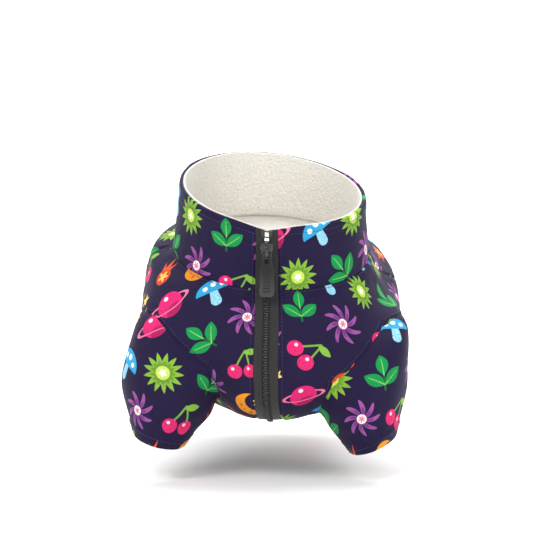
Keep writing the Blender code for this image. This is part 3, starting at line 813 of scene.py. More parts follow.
def border_uv(local, uv, border):
    """Pattern coordinates of each border edge, as the corners of its rim quads."""
    count = int(local.max()) + 1
    starts = local.reshape(-1)
    ends = np.roll(local, -1, axis=1).reshape(-1)
    start_uv = uv.reshape(-1, 2)
    end_uv = np.roll(uv, -1, axis=1).reshape(-1, 2)
    keys = starts * count + ends
    order = np.argsort(keys)
    found = order[np.searchsorted(keys[order], border[:, 0] * count + border[:, 1])]
    a, b = start_uv[found], end_uv[found]
    return np.stack([b, a, a, b], axis=1)


def quad_piece(name, verts, quads, corner_uv, inside, materials):
    quads = np.concatenate(quads)
    data = bpy.data.meshes.new(name)
    data.from_pydata(verts.tolist(), [], quads.tolist())
    layer = data.uv_layers.new(name="cloth")
    layer.data.foreach_set("uv", np.concatenate(corner_uv).reshape(-1))
    for material in materials:
        data.materials.append(material)
    if len(materials) > 1:
        data.polygons.foreach_set("material_index", np.concatenate(inside).astype(np.int32))
    data.shade_smooth()
    return link(name, data)


# Node helpers


def srgb(red, green, blue):
    """A linear colour from 0 to 255 screen values."""
    values = []
    for value in (red, green, blue):
        share = value / 255
        values.append(share / 12.92 if share <= 0.04045 else ((share + 0.055) / 1.055) ** 2.4)
    return (*values, 1.0)


class Ink:
    """Short names for the nodes that draw a print from formulas."""

    def __init__(self, tree):
        self.tree = tree

    def node(self, kind, **settings):
        made = self.tree.nodes.new(kind)
        for key, value in settings.items():
            setattr(made, key, value)
        return made

    def feed(self, socket, value):
        if isinstance(value, bpy.types.NodeSocket):
            self.tree.links.new(value, socket)
        else:
            socket.default_value = value

    def math(self, operation, *values, clamp=False):
        made = self.node("ShaderNodeMath", operation=operation, use_clamp=clamp)
        for socket, value in zip(made.inputs, values):
            self.feed(socket, value)
        return made.outputs[0]

    def add(self, a, b):
        return self.math("ADD", a, b)

    def take(self, a, b):
        return self.math("SUBTRACT", a, b)

    def times(self, a, b):
        return self.math("MULTIPLY", a, b)

    def least(self, a, b):
        return self.math("MINIMUM", a, b)

    def most(self, a, b):
        return self.math("MAXIMUM", a, b)

    def length(self, x, y):
        return self.math("SQRT", self.add(self.times(x, x), self.times(y, y)))

    def turn(self, x, y, angle):
        """The point turned back by an angle, so that a shape on it turns forward."""
        if isinstance(angle, (int, float)):
            sine, cosine = math.sin(angle), math.cos(angle)
        else:
            sine, cosine = self.math("SINE", angle), self.math("COSINE", angle)
        along = self.add(self.times(x, cosine), self.times(y, sine))
        across = self.take(self.times(y, cosine), self.times(x, sine))
        return along, across

    def inside(self, distance):
        """A soft-edged mask from a signed distance in millimetres."""
        return self.math("MULTIPLY_ADD", distance, -4.0, 0.5, clamp=True)

    def disc(self, x, y, at_x, at_y, radius):
        return self.take(self.length(self.take(x, at_x), self.take(y, at_y)), radius)

    def oval(self, x, y, wide, tall):
        reach = self.length(self.times(x, 1 / wide), self.times(y, 1 / tall))
        return self.times(self.take(reach, 1.0), min(wide, tall))

    def petals(self, x, y, count, base, swing, sharp=False):
        """A round shape whose edge waves count times round."""
        angle = self.math("ARCTAN2", y, x)
        wave = self.math("COSINE", self.times(angle, float(count)))
        if sharp:
            wave = self.take(1.0, self.times(self.math("ARCCOSINE", wave), 2 / math.pi))
        return self.take(self.length(x, y), self.math("MULTIPLY_ADD", wave, swing, base))

    def leaf(self, x, y, half_length, half_width):
        bend = self.times(self.times(y, y), half_width / half_length**2)
        return self.times(self.take(self.add(self.math("ABSOLUTE", x), bend), half_width), 0.8)

    def bar(self, x, y, length, wide, taper=0.0):
        """A bar from the origin up to length, which narrows by taper on the way."""
        along = self.math("DIVIDE", y, length, clamp=True)
        off = self.length(x, self.take(y, self.times(along, length)))
        return self.take(off, self.math("MULTIPLY_ADD", along, -taper, wide))

    def mix(self, share, under, over):
        made = self.node("ShaderNodeMix", data_type="RGBA")
        self.feed(made.inputs["Factor"], share)
        self.feed(made.inputs["A"], under)
        self.feed(made.inputs["B"], over)
        return made.outputs["Result"]


# Motifs: each takes a point in millimetres and gives its layers as (distance, colour)


def ringed_planet(ink, x, y):
    tilt_x, tilt_y = ink.turn(x, y, 0.42)
    hoop = ink.math("ABSOLUTE", ink.oval(tilt_x, ink.times(tilt_y, 3.4), 13.2, 13.2))
    hidden = ink.most(ink.times(tilt_y, -1.0), ink.disc(x, y, 0.0, 0.0, 8.4))
    front = ink.most(ink.take(hoop, 1.3), ink.times(hidden, -1.0))
    return [
        (ink.disc(x, y, 0.0, 0.0, 8.6), srgb(219, 36, 112)),
        (ink.most(ink.disc(x, y, 0.0, 0.0, 8.6), ink.disc(x, y, 5.0, -6.0, 6.6)), srgb(176, 24, 92)),
        (front, srgb(245, 120, 160)),
        (ink.disc(x, y, -3.4, 4.2, 1.5), srgb(245, 235, 238)),
    ]


def toadstool(ink, x, y):
    cap = ink.most(ink.oval(x, ink.take(y, -1.0), 12.4, 10.6), ink.take(-1.0, y))
    stem = ink.bar(x, ink.add(y, 8.8), 8.0, 3.5, 0.8)
    spots = ink.least(ink.disc(x, y, -5.6, 3.4, 1.9), ink.disc(x, y, 0.6, 5.2, 2.2))
    spots = ink.least(spots, ink.disc(x, y, 6.6, 2.6, 1.7))
    return [
        (stem, srgb(150, 214, 240)),
        (cap, srgb(47, 162, 213)),
        (spots, srgb(240, 244, 244)),
    ]


def sunburst(ink, x, y):
    return [
        (ink.petals(x, y, 13, 9.6, 2.9, sharp=True), srgb(132, 178, 58)),
        (ink.petals(x, y, 13, 6.6, 1.1, sharp=True), srgb(104, 150, 44)),
        (ink.disc(x, y, 0.0, 0.0, 4.2), srgb(196, 220, 96)),
        (ink.petals(x, y, 5, 2.0, 0.6), srgb(242, 242, 226)),
    ]


def leaf_sprig(ink, x, y):
    low_y = ink.add(y, 11.0)
    layers = [(ink.bar(x, low_y, 19.0, 0.75, 0.3), srgb(8, 104, 52))]
    for angle, rise, half_length in ((0.0, 15.0, 6.6), (-0.95, 9.5, 7.4), (0.95, 9.5, 7.4)):
        turned_x, turned_y = ink.turn(x, ink.take(low_y, rise - half_length * 0.85), angle)
        leaf_y = ink.take(turned_y, half_length)
        layers.append((ink.leaf(turned_x, leaf_y, half_length, 3.9), srgb(14, 148, 74)))
        layers.append((ink.bar(turned_x, turned_y, half_length * 1.6, 0.38, 0.2), srgb(128, 204, 92)))
    return layers


def comet(ink, x, y):
    layers = []
    for angle, length, wide in ((0.0, 18.5, 3.4), (0.38, 14.5, 2.6), (-0.38, 14.5, 2.6)):
        tail_x, tail_y = ink.turn(ink.take(x, -1.0), ink.add(y, 7.0), angle)
        layers.append((ink.bar(tail_x, tail_y, length, wide, wide), srgb(226, 88, 34)))
    layers.append((ink.disc(x, y, -1.0, -6.6, 6.2), srgb(214, 74, 32)))
    layers.append((ink.petals(ink.add(x, 1.0), ink.add(y, 6.6), 5, 3.2, 1.3), srgb(250, 196, 96)))
    return layers


def crescent(ink, x, y):
    moon = ink.most(
        ink.disc(x, y, 0.0, 0.0, 11.2), ink.times(ink.disc(x, y, 5.2, 2.4, 8.8), -1.0)
    )
    spots = ink.least(ink.disc(x, y, -7.2, 1.0, 1.2), ink.disc(x, y, -4.0, -7.0, 1.4))
    spots = ink.least(spots, ink.disc(x, y, -6.6, -3.4, 0.8))
    return [
        (moon, srgb(238, 150, 34)),
        (spots, srgb(206, 106, 22)),
        (ink.petals(ink.take(x, 6.2), ink.take(y, 2.6), 5, 2.9, 1.4, sharp=True), srgb(246, 214, 120)),
    ]


def long_petals(ink, x, y):
    reach = ink.length(x, y)
    swirl_x, swirl_y = ink.turn(x, y, ink.times(reach, 0.05))
    return [
        (ink.petals(swirl_x, swirl_y, 8, 7.6, 4.9), srgb(150, 80, 152)),
        (ink.petals(swirl_x, swirl_y, 8, 5.2, 2.6), srgb(118, 54, 128)),
        (ink.disc(x, y, 0.0, 0.0, 3.1), srgb(240, 236, 232)),
        (ink.petals(x, y, 6, 1.7, 0.7), srgb(234, 120, 150)),
    ]


def cherries(ink, x, y):
    left_x, left_y = ink.turn(ink.add(x, 5.6), ink.add(y, 4.0), -0.40)
    right_x, right_y = ink.turn(ink.take(x, 5.2), ink.add(y, 2.6), 0.36)
    stems = ink.least(ink.bar(left_x, left_y, 14.5, 0.65), ink.bar(right_x, right_y, 13.0, 0.65))
    leaf_x, leaf_y = ink.turn(ink.take(x, 4.6), ink.take(y, 9.4), -1.25)
    fruit = ink.least(ink.disc(x, y, -5.8, -6.4, 5.2), ink.disc(x, y, 5.6, -5.2, 5.2))
    shine = ink.least(ink.disc(x, y, -7.4, -4.6, 1.2), ink.disc(x, y, 4.0, -3.4, 1.2))
    return [
        (stems, srgb(120, 166, 60)),
        (ink.leaf(leaf_x, leaf_y, 5.4, 2.4), srgb(132, 182, 64)),
        (fruit, srgb(226, 40, 110)),
        (shine, srgb(250, 214, 226)),
    ]


MOTIFS = (ringed_planet, leaf_sprig, comet, toadstool, long_petals, crescent, sunburst, cherries)


def draw_print(ink, uv, ground):
    """Scatter the motifs over the cloth in offset rows, one to a cell."""
    split = ink.node("ShaderNodeSeparateXYZ")
    ink.feed(split.inputs[0], uv)
    v = ink.times(split.outputs["Y"], 1 / MOTIF_CELL_HEIGHT)
    row = ink.math("FLOOR", v)
    u = ink.times(split.outputs["X"], 1 / MOTIF_CELL_WIDTH)
    u = ink.add(u, ink.times(ink.math("MODULO", ink.add(row, 400.0), 2.0), 0.5))
    column = ink.math("FLOOR", u)
    place = ink.node("ShaderNodeCombineXYZ")
    ink.feed(place.inputs["X"], column)
    ink.feed(place.inputs["Y"], row)
    chance = ink.node("ShaderNodeTexWhiteNoise", noise_dimensions="2D")
    ink.feed(chance.inputs["Vector"], place.outputs[0])
    parts = ink.node("ShaderNodeSeparateColor")
    ink.feed(parts.inputs[0], chance.outputs["Color"])
    jitter = MOTIF_JITTER * 1000
    x = ink.times(ink.take(ink.take(u, column), 0.5), MOTIF_CELL_WIDTH * 1000)
    x = ink.add(x, ink.times(ink.take(parts.outputs[0], 0.5), jitter))
    y = ink.times(ink.take(ink.take(v, row), 0.5), MOTIF_CELL_HEIGHT * 1000)
    y = ink.add(y, ink.times(ink.take(parts.outputs[1], 0.5), jitter))
    x, y = ink.turn(x, y, ink.times(ink.take(parts.outputs[2], 0.5), MOTIF_TURN))
    size = ink.math("MULTIPLY_ADD", chance.outputs["Value"], MOTIF_SPREAD, MOTIF_SCALE - MOTIF_SPREAD)
    x, y = ink.math("DIVIDE", x, size), ink.math("DIVIDE", y, size)
    kind = ink.add(ink.times(column, 3.0), ink.times(row, 2.0))
    kind = ink.math("MODULO", ink.add(kind, 8000.0), float(len(MOTIFS)))
    colour, covered = ground, 0.0
    for number, motif in enumerate(MOTIFS):
        chosen = ink.math("COMPARE", kind, float(number), 0.5)
        for distance, tint in motif(ink, x, y):
            mask = ink.times(ink.inside(distance), chosen)
            colour = ink.mix(mask, colour, tint)
            covered = ink.most(covered, mask)
    speckle = ink.node("ShaderNodeTexVoronoi", voronoi_dimensions="2D")
    ink.feed(speckle.inputs["Vector"], uv)
    speckle.inputs["Scale"].default_value = 520.0
    dots = ink.math("LESS_THAN", speckle.outputs["Distance"], 0.24)
    low = ink.math("MULTIPLY_ADD", y, -0.12, 0.25, clamp=True)
    shade = ink.times(ink.times(dots, low), ink.times(covered, 0.45))
    return ink.mix(shade, colour, srgb(60, 22, 60))


# Materials


def start_material(name):
    material = bpy.data.materials.new(name)
    material.use_nodes = True
    return material, Ink(material.node_tree), material.node_tree.nodes["Principled BSDF"]


def cloth_uv(ink):
    return ink.node("ShaderNodeUVMap", uv_map="cloth").outputs["UV"]


def weave_height(ink, uv, pitch):
    """Ribs and courses of a fine knit."""
    split = ink.node("ShaderNodeSeparateXYZ")
    ink.feed(split.inputs[0], uv)
    turn = 2 * math.pi / pitch
    course = ink.math("SINE", ink.times(split.outputs["Y"], turn * 1.3))
    rib = ink.math("SINE", ink.add(ink.times(split.outputs["X"], turn), ink.times(course, 0.9)))
    return ink.add(ink.times(rib, 0.6), ink.times(course, 0.4))


def printed_cloth():
    material, ink, shader = start_material("printed_cloth")
    uv = cloth_uv(ink)
    mottle = ink.node("ShaderNodeTexNoise")
    ink.feed(mottle.inputs["Vector"], uv)
    mottle.inputs["Scale"].default_value = 90.0
    ground = ink.mix(mottle.outputs["Fac"], srgb(25, 15, 49), srgb(33, 22, 62))
    colour = draw_print(ink, uv, ground)
    height = weave_height(ink, uv, 0.00075)
    thread = ink.math("MULTIPLY_ADD", height, 0.06, 0.06, clamp=True)
    ink.feed(shader.inputs["Base Color"], ink.mix(thread, colour, srgb(8, 5, 16)))
    shader.inputs["Roughness"].default_value = 0.72
    shader.inputs["Sheen Weight"].default_value = 0.04
    shader.inputs["Sheen Roughness"].default_value = 0.45
    shader.inputs["Specular IOR Level"].default_value = 0.16
    bump = ink.node("ShaderNodeBump")
    bump.inputs["Strength"].default_value = 0.22
    bump.inputs["Distance"].default_value = 0.0002
    ink.feed(bump.inputs["Height"], height)
    ink.feed(shader.inputs["Normal"], bump.outputs[0])
    return material


def plush(name="plush_lining"):
    material, ink, shader = start_material(name)
    place = ink.node("ShaderNodeTexCoord").outputs["Object"]
    curls = ink.node("ShaderNodeTexVoronoi")
    ink.feed(curls.inputs["Vector"], place)
    curls.inputs["Scale"].default_value = 420.0
    drift = ink.node("ShaderNodeTexNoise")
    ink.feed(drift.inputs["Vector"], place)
    drift.inputs["Scale"].default_value = 700.0
    drift.inputs["Detail"].default_value = 4.0
    height = ink.add(ink.times(curls.outputs["Distance"], -0.7), drift.outputs["Fac"])
    tint = ink.mix(drift.outputs["Fac"], srgb(214, 208, 196), srgb(250, 247, 240))
    ink.feed(shader.inputs["Base Color"], tint)
    shader.inputs["Roughness"].default_value = 0.95
    shader.inputs["Sheen Weight"].default_value = 0.6
    shader.inputs["Sheen Roughness"].default_value = 0.6
    bump = ink.node("ShaderNodeBump")
    bump.inputs["Strength"].default_value = 0.8
    bump.inputs["Distance"].default_value = 0.0009
    ink.feed(bump.inputs["Height"], height)
    ink.feed(shader.inputs["Normal"], bump.outputs[0])
    return material


def woven_tape():
    material, ink, shader = start_material("woven_tape")
    uv = cloth_uv(ink)
    height = weave_height(ink, uv, 0.0009)
    grain = ink.node("ShaderNodeTexNoise")
    ink.feed(grain.inputs["Vector"], uv)
    grain.inputs["Scale"].default_value = 900.0
    # Painted shade of the weave: the tape is lighter on its raised ribs and darker in the grooves between
    # them, mixed with a random grain of the yarn.
    tone = ink.math("MULTIPLY_ADD", height, 0.25, grain.outputs["Fac"])
    ink.feed(shader.inputs["Base Color"], ink.mix(tone, srgb(12, 12, 13), srgb(30, 29, 31)))
    shader.inputs["Roughness"].default_value = 0.7
    shader.inputs["Sheen Weight"].default_value = 0.2
    bump = ink.node("ShaderNodeBump")
    bump.inputs["Strength"].default_value = 0.6
    bump.inputs["Distance"].default_value = 0.00025
    ink.feed(bump.inputs["Height"], height)
    ink.feed(shader.inputs["Normal"], bump.outputs[0])
    return material


def black_plastic(name, roughness, tone):
    material, ink, shader = start_material(name)
    place = ink.node("ShaderNodeTexCoord").outputs["Object"]
    wear = ink.node("ShaderNodeTexNoise")
    ink.feed(wear.inputs["Vector"], place)
    wear.inputs["Scale"].default_value = 260.0
    wear.inputs["Detail"].default_value = 5.0
    tint = ink.mix(wear.outputs["Fac"], srgb(tone, tone, tone), srgb(tone + 16, tone + 16, tone + 16))
    ink.feed(shader.inputs["Base Color"], tint)
    ink.feed(shader.inputs["Roughness"], ink.math("MULTIPLY_ADD", wear.outputs["Fac"], 0.16, roughness))
    shader.inputs["Coat Weight"].default_value = 0.5
    shader.inputs["Coat Roughness"].default_value = 0.08
    bump = ink.node("ShaderNodeBump")
    bump.inputs["Strength"].default_value = 0.25
    bump.inputs["Distance"].default_value = 0.0001
    ink.feed(bump.inputs["Height"], wear.outputs["Fac"])
    ink.feed(shader.inputs["Normal"], bump.outputs[0])
    return material


def sewing_thread():
    material, ink, shader = start_material("sewing_thread")
    place = ink.node("ShaderNodeTexCoord").outputs["Object"]
    ply = ink.node("ShaderNodeTexNoise")
    ink.feed(ply.inputs["Vector"], place)
    ply.inputs["Scale"].default_value = 1500.0
    ink.feed(shader.inputs["Base Color"], ink.mix(ply.outputs["Fac"], srgb(26, 18, 48), srgb(52, 42, 86)))
    shader.inputs["Roughness"].default_value = 0.5
    return material


# Zip, slider and pull


def zip_line(skin, column, rows):
    """Points and outward directions down the zip, on its left or right chain edge."""
    points, normals = [], []
    for r in rows:
        i = skin.index["torso", r, column]
        points.append(skin.points[i])
        normals.append(skin.normals[i])
    return points, normals


def smooth_line(points, per_span):
    """Points on a smooth curve through the given ones."""
    made = []
    Spot = namedtuple("Spot", "x y z")
    spots = [Spot(*point) for point in points]
    for k in range((len(points) - 1) * per_span + 1):
        made.append(Vector(smooth_row(spots, k / per_span)))
    return made


def path_object(name, points, normals):
    """A polyline with the surface's outward direction stored at each point."""
    data = bpy.data.meshes.new(name)
    data.from_pydata(points, [(k, k + 1) for k in range(len(points) - 1)], [])
    outward = data.attributes.new("outward", "FLOAT_VECTOR", "POINT")
    outward.data.foreach_set("vector", [value for normal in normals for value in normal])
    return link(name, data)


def tree_with(name, sizes):
    """A geometry node tree with a mesh in, a mesh out and named sizes."""
    tree = bpy.data.node_groups.new(name, "GeometryNodeTree")
    tree.interface.new_socket("Path", in_out="INPUT", socket_type="NodeSocketGeometry")
    for label, value in sizes.items():
        socket = tree.interface.new_socket(label, in_out="INPUT", socket_type="NodeSocketFloat")
        socket.default_value = value
    tree.interface.new_socket("Made", in_out="OUTPUT", socket_type="NodeSocketGeometry")
    return tree


def row_along_path(name, unit, material, sizes):
    """A tree that sets copies of a small mesh along a path, upright on the surface.

    With Flip at 1, every second copy is turned half round, as the teeth of a zip are.
    """
    tree = tree_with(name, sizes)
    nodes, links = tree.nodes, tree.links
    given = nodes.new("NodeGroupInput")
    result = nodes.new("NodeGroupOutput")
    curve = nodes.new("GeometryNodeMeshToCurve")
    links.new(given.outputs["Path"], curve.inputs["Mesh"])
    spread = nodes.new("GeometryNodeResampleCurve")
    spread.mode = "LENGTH"
    links.new(curve.outputs[0], spread.inputs["Curve"])
    links.new(given.outputs["Pitch"], spread.inputs["Length"])
    spots = nodes.new("GeometryNodeCurveToPoints")
    spots.mode = "EVALUATED"
    links.new(spread.outputs[0], spots.inputs["Curve"])
    outward = nodes.new("GeometryNodeInputNamedAttribute")
    outward.data_type = "FLOAT_VECTOR"
    outward.inputs["Name"].default_value = "outward"
    along = nodes.new("FunctionNodeAlignRotationToVector")
    along.axis = "X"
    links.new(spots.outputs["Tangent"], along.inputs["Vector"])
    upright = nodes.new("FunctionNodeAlignRotationToVector")
    upright.axis = "Z"
    upright.pivot_axis = "X"
    links.new(along.outputs[0], upright.inputs["Rotation"])
    links.new(outward.outputs["Attribute"], upright.inputs["Vector"])
    number = nodes.new("GeometryNodeInputIndex")
    second = nodes.new("ShaderNodeMath")
    second.operation = "MODULO"
    links.new(number.outputs[0], second.inputs[0])
    second.inputs[1].default_value = 2.0
    flip = nodes.new("ShaderNodeMath")
    flip.operation = "MULTIPLY"
    links.new(second.outputs[0], flip.inputs[0])
    links.new(given.outputs["Flip"], flip.inputs[1])
    half_turn = nodes.new("ShaderNodeMath")
    half_turn.operation = "MULTIPLY"
    links.new(flip.outputs[0], half_turn.inputs[0])
    half_turn.inputs[1].default_value = math.pi
    spin = nodes.new("ShaderNodeCombineXYZ")
    links.new(half_turn.outputs[0], spin.inputs["Z"])
    local = nodes.new("FunctionNodeRotateRotation")
    local.rotation_space = "LOCAL"
    links.new(upright.outputs[0], local.inputs["Rotation"])
    links.new(spin.outputs[0], local.inputs["Rotate By"])
    source = nodes.new("GeometryNodeObjectInfo")
    source.inputs["Object"].default_value = unit
    copies = nodes.new("GeometryNodeInstanceOnPoints")
    links.new(spots.outputs["Points"], copies.inputs["Points"])
    links.new(source.outputs["Geometry"], copies.inputs["Instance"])
    links.new(local.outputs[0], copies.inputs["Rotation"])
    real = nodes.new("GeometryNodeRealizeInstances")
    links.new(copies.outputs[0], real.inputs[0])
    finish = nodes.new("GeometryNodeSetMaterial")
    finish.inputs["Material"].default_value = material
    links.new(real.outputs[0], finish.inputs["Geometry"])
    links.new(finish.outputs[0], result.inputs[0])
    return tree


def grow(path, tree, name, sizes):
    """Run a tree on a path and keep the result as a plain mesh object."""
    modifier = path.modifiers.new(tree.name, "NODES")
    modifier.node_group = tree
    for item in tree.interface.items_tree:
        if item.in_out == "INPUT" and item.name in sizes:
            modifier[item.identifier] = sizes[item.name]
    graph = bpy.context.evaluated_depsgraph_get()
    data = bpy.data.meshes.new_from_object(path.evaluated_get(graph))
    data.shade_smooth()
    drop(path)
    return link(name, data)


def rounded_bar(length, wide, tall, rounding, name):
    """A small bar along X with rounded edges, resting on Z = 0."""
    mesh = bmesh.new()
    bmesh.ops.create_cube(mesh, size=1.0)
    for vertex in mesh.verts:
        vertex.co = Vector((vertex.co.x * length, vertex.co.y * wide, (vertex.co.z + 0.5) * tall))
    bmesh.ops.bevel(mesh, geom=list(mesh.edges), offset=rounding, segments=2, affect="EDGES", profile=0.6)
    data = bpy.data.meshes.new(name)
    mesh.to_mesh(data)
    mesh.free()
    return link(name, data)


def tooth_unit():
    """One tooth: a root that grips the tape's edge and a wider head beyond the middle."""
    mesh = bmesh.new()
    root = (-0.0021, 0.0003, 0.00052, 0.0012)
    head = (-0.0004, 0.0011, 0.00078, 0.0013)
    for low_y, high_y, half_x, tall in (root, head):
        made = bmesh.ops.create_cube(mesh, size=1.0)["verts"]
        for vertex in made:
            vertex.co = Vector((
                vertex.co.x * 2 * half_x,
                low_y + (vertex.co.y + 0.5) * (high_y - low_y),
                (vertex.co.z + 0.5) * tall,
            ))
        edges = list({edge for vertex in made for edge in vertex.link_edges})
        bmesh.ops.bevel(mesh, geom=edges, offset=0.00022, segments=1, affect="EDGES")
    data = bpy.data.meshes.new("tooth_unit")
    mesh.to_mesh(data)
    mesh.free()
    return link("tooth_unit", data)


def between(a, b):
    return [(p + q) / 2 for p, q in zip(a, b)]


def make_teeth(skin, material):
    """The closed chain below the slider, and the parted teeth above it."""
    unit = tooth_unit()
    sizes = {"Pitch": TOOTH_PITCH / 2, "Flip": 1.0}
    tree = row_along_path("chain_of_teeth", unit, material, sizes)
    last_column = 2 * SIDE_COLUMNS + 2
    last_row = len(TORSO) * ROWS_PER_SECTION
    closed_rows = range(-CHAIN_TOP_ROW, last_row + 1)
    left, left_out = zip_line(skin, 0, closed_rows)
    right, right_out = zip_line(skin, last_column, closed_rows)
    line = smooth_line(between(left, right), 8)
    outward = [v.normalized() for v in smooth_line(between(left_out, right_out), 8)]
    raised = [point + normal * -0.0003 for point, normal in zip(line, outward)]
    closed = grow(path_object("closed_path", raised, outward), tree, "closed_teeth", sizes)
    made = [closed]
    open_rows = range(-COLLAR_ROWS, -CHAIN_TOP_ROW + 1)
    sizes = {"Pitch": TOOTH_PITCH, "Flip": 0.0}
    for column, side in ((0, -1), (last_column, 1)):
        edge, edge_out = zip_line(skin, column, open_rows)
        if side < 0:
            edge, edge_out = edge[::-1], edge_out[::-1]
        line = smooth_line(edge, 6)[1:-1]
        outward = [v.normalized() for v in smooth_line(edge_out, 6)][1:-1]
        raised = [point + normal * -0.0003 for point, normal in zip(line, outward)]
        made.append(grow(path_object("open_path", raised, outward), tree, "open_teeth", sizes))
    drop(unit)
    return joined("zip_teeth", made, material)


def joined(name, things, material):
    """One object with the meshes of several, which it takes the place of."""
    mesh = bmesh.new()
    for thing in things:
        mesh.from_mesh(thing.data)
    for face in mesh.faces:
        face.material_index = 0
    data = bpy.data.meshes.new(name)
    mesh.to_mesh(data)
    mesh.free()
    data.materials.append(material)
    for thing in things:
        drop(thing)
    data.shade_smooth()
    return link(name, data)


def zip_frame(skin, row):
    """A point on the zip's middle line and its across, outward and up directions."""
    last_column = 2 * SIDE_COLUMNS + 2
    ends = []
    for r in (row, row + 1):
        left = skin.points[skin.index["torso", r, 0]]
        right = skin.points[skin.index["torso", r, last_column]]
        ends.append((left + right) / 2)
    upper, lower = ends
    up = (upper - lower).normalized()
    across = Vector((1, 0, 0))
    return upper, across, across.cross(up).normalized(), up


def slider_layers():
    """Heights above the skin at which the slider's layers start and end."""
    plate_in = CHAIN_RISE + SLIDER_CLEARANCE
    plate_out = plate_in + SLIDER_PLATE
    bar_in = plate_out + ARCH_WINDOW
    rear_out = -(CHAIN_SINK + SLIDER_CLEARANCE)
    return plate_in, plate_out, bar_in, bar_in + ARCH_BAR, rear_out - SLIDER_REAR_PLATE, rear_out


def slab(mesh, outline, low, high):
    """A plate from an outline of (x, z) points, between two heights along Y."""
    near = [mesh.verts.new((x, low, z)) for x, z in outline]
    far = [mesh.verts.new((x, high, z)) for x, z in outline]
    mesh.faces.new(near)
    mesh.faces.new(far[::-1])
    for k in range(len(outline)):
        m = (k + 1) % len(outline)
        mesh.faces.new((near[m], near[k], far[k], far[m]))
    return near + far


def shield(half_width, half_height, waist):
    """A slider's outline: wide shoulders, drawn in at the middle, a narrower foot."""
    half = [
        (0.00, 1.00), (0.55, 1.00), (0.86, 0.90), (1.00, 0.66), (1.00, 0.28),
        (waist, -0.12), (waist * 0.98, -0.62), (waist * 0.84, -0.92), (waist * 0.60, -1.00),
    ]
    right = [(x * half_width, z * half_height) for x, z in half]
    left = [(-x, z) for x, z in reversed(right[1:])]
    return right + left


def arch_strip(mesh, low, high, foot, crown, thickness, half_width):
    """The bent strip over the pull's crossbar, from one foot to the other."""
    steps = 12
    rings = []
    for k in range(steps + 1):
        angle = math.pi * k / steps
        squareness = 0.55
        z_share = math.copysign(abs(math.cos(angle)) ** squareness, math.cos(angle))
        y_share = abs(math.sin(angle)) ** squareness
        middle = (low + high) / 2
        outer = Vector((0, foot + (crown - foot) * y_share, middle + (high - low) / 2 * z_share))
        inner = Vector((
            0,
            foot + (crown - thickness - foot) * y_share,
            middle + ((high - low) / 2 - thickness) * z_share,
        ))
        rings.append([
            mesh.verts.new(inner + Vector((-half_width, 0, 0))),
            mesh.verts.new(outer + Vector((-half_width, 0, 0))),
            mesh.verts.new(outer + Vector((half_width, 0, 0))),
            mesh.verts.new(inner + Vector((half_width, 0, 0))),
        ])
    for a, b in zip(rings, rings[1:]):
        for k in range(4):
            m = (k + 1) % 4
            mesh.faces.new((a[k], a[m], b[m], b[k]))
    mesh.faces.new(rings[0][::-1])
    mesh.faces.new(rings[-1])


def set_on(mesh, frame):
    """Turn a mesh made along X, Y outward and Z up onto a frame of the zip."""
    point, across, outward, up = frame
    for vertex in mesh.verts:
        x, y, z = vertex.co
        vertex.co = point + across * x + outward * y + up * z
    bmesh.ops.recalc_face_normals(mesh, faces=mesh.faces)


def finished(name, mesh, material, bevel=0.0, segments=2, angle=30):
    data = bpy.data.meshes.new(name)
    mesh.to_mesh(data)
    mesh.free()
    data.materials.append(material)
    thing = link(name, data)
    if bevel:
        rounding = thing.modifiers.new("rounding", "BEVEL")
        rounding.width = bevel
        rounding.segments = segments
        rounding.limit_method = "ANGLE"
        rounding.angle_limit = math.radians(angle)
        made = bpy.data.meshes.new_from_object(thing.evaluated_get(bpy.context.evaluated_depsgraph_get()))
        thing.modifiers.clear()
        thing.data = made
    thing.data.shade_smooth()
    return thing


def make_slider(skin, material):
    plate_in, plate_out, bar_in, bar_out, rear_in, rear_out = slider_layers()
    half, tall = SLIDER_WIDTH / 2, SLIDER_HEIGHT / 2
    post_low = SLIDER_CLEARANCE + SEAM_GAP
    mesh = bmesh.new()
    slab(mesh, shield(half, tall, 0.80), plate_in, plate_out)
    slab(mesh, shield(half, tall, 0.80), rear_in, rear_out)
    post = POST_WIDTH / 2
    slab(
        mesh,
        [(-post, post_low), (post, post_low), (post, post_low + POST_HEIGHT), (-post, post_low + POST_HEIGHT)],
        rear_in + SLIDER_REAR_PLATE / 2,
        plate_in + SLIDER_PLATE / 2,
    )
    rise = ARCH_HEIGHT / 2
    arch_strip(mesh, -rise, rise, plate_out - 0.0002, bar_out, ARCH_BAR, ARCH_WIDTH / 2)
    set_on(mesh, zip_frame(skin, -CHAIN_TOP_ROW))
    return finished("slider", mesh, material, bevel=0.00035)


def pull_outline():
    """The pull's right half from its top to its tip, with rounded corners."""
    half = PULL_THICKNESS / 2
    neck, wide = PULL_NECK_WIDTH / 2, PULL_WIDTH / 2
    tip = -PULL_LENGTH + half
    points = [(0.0, half), (neck * 0.7, half), (neck, -half * 0.4), (neck, -PULL_SLOT_END)]
    points += [(wide, -PULL_SHOULDER), (wide, tip + PULL_CORNER)]
    for k in range(1, 6):
        turn = math.pi / 2 * k / 5
        points.append((
            wide - PULL_CORNER + PULL_CORNER * math.cos(turn),
            tip + PULL_CORNER - PULL_CORNER * math.sin(turn),
        ))
    return points


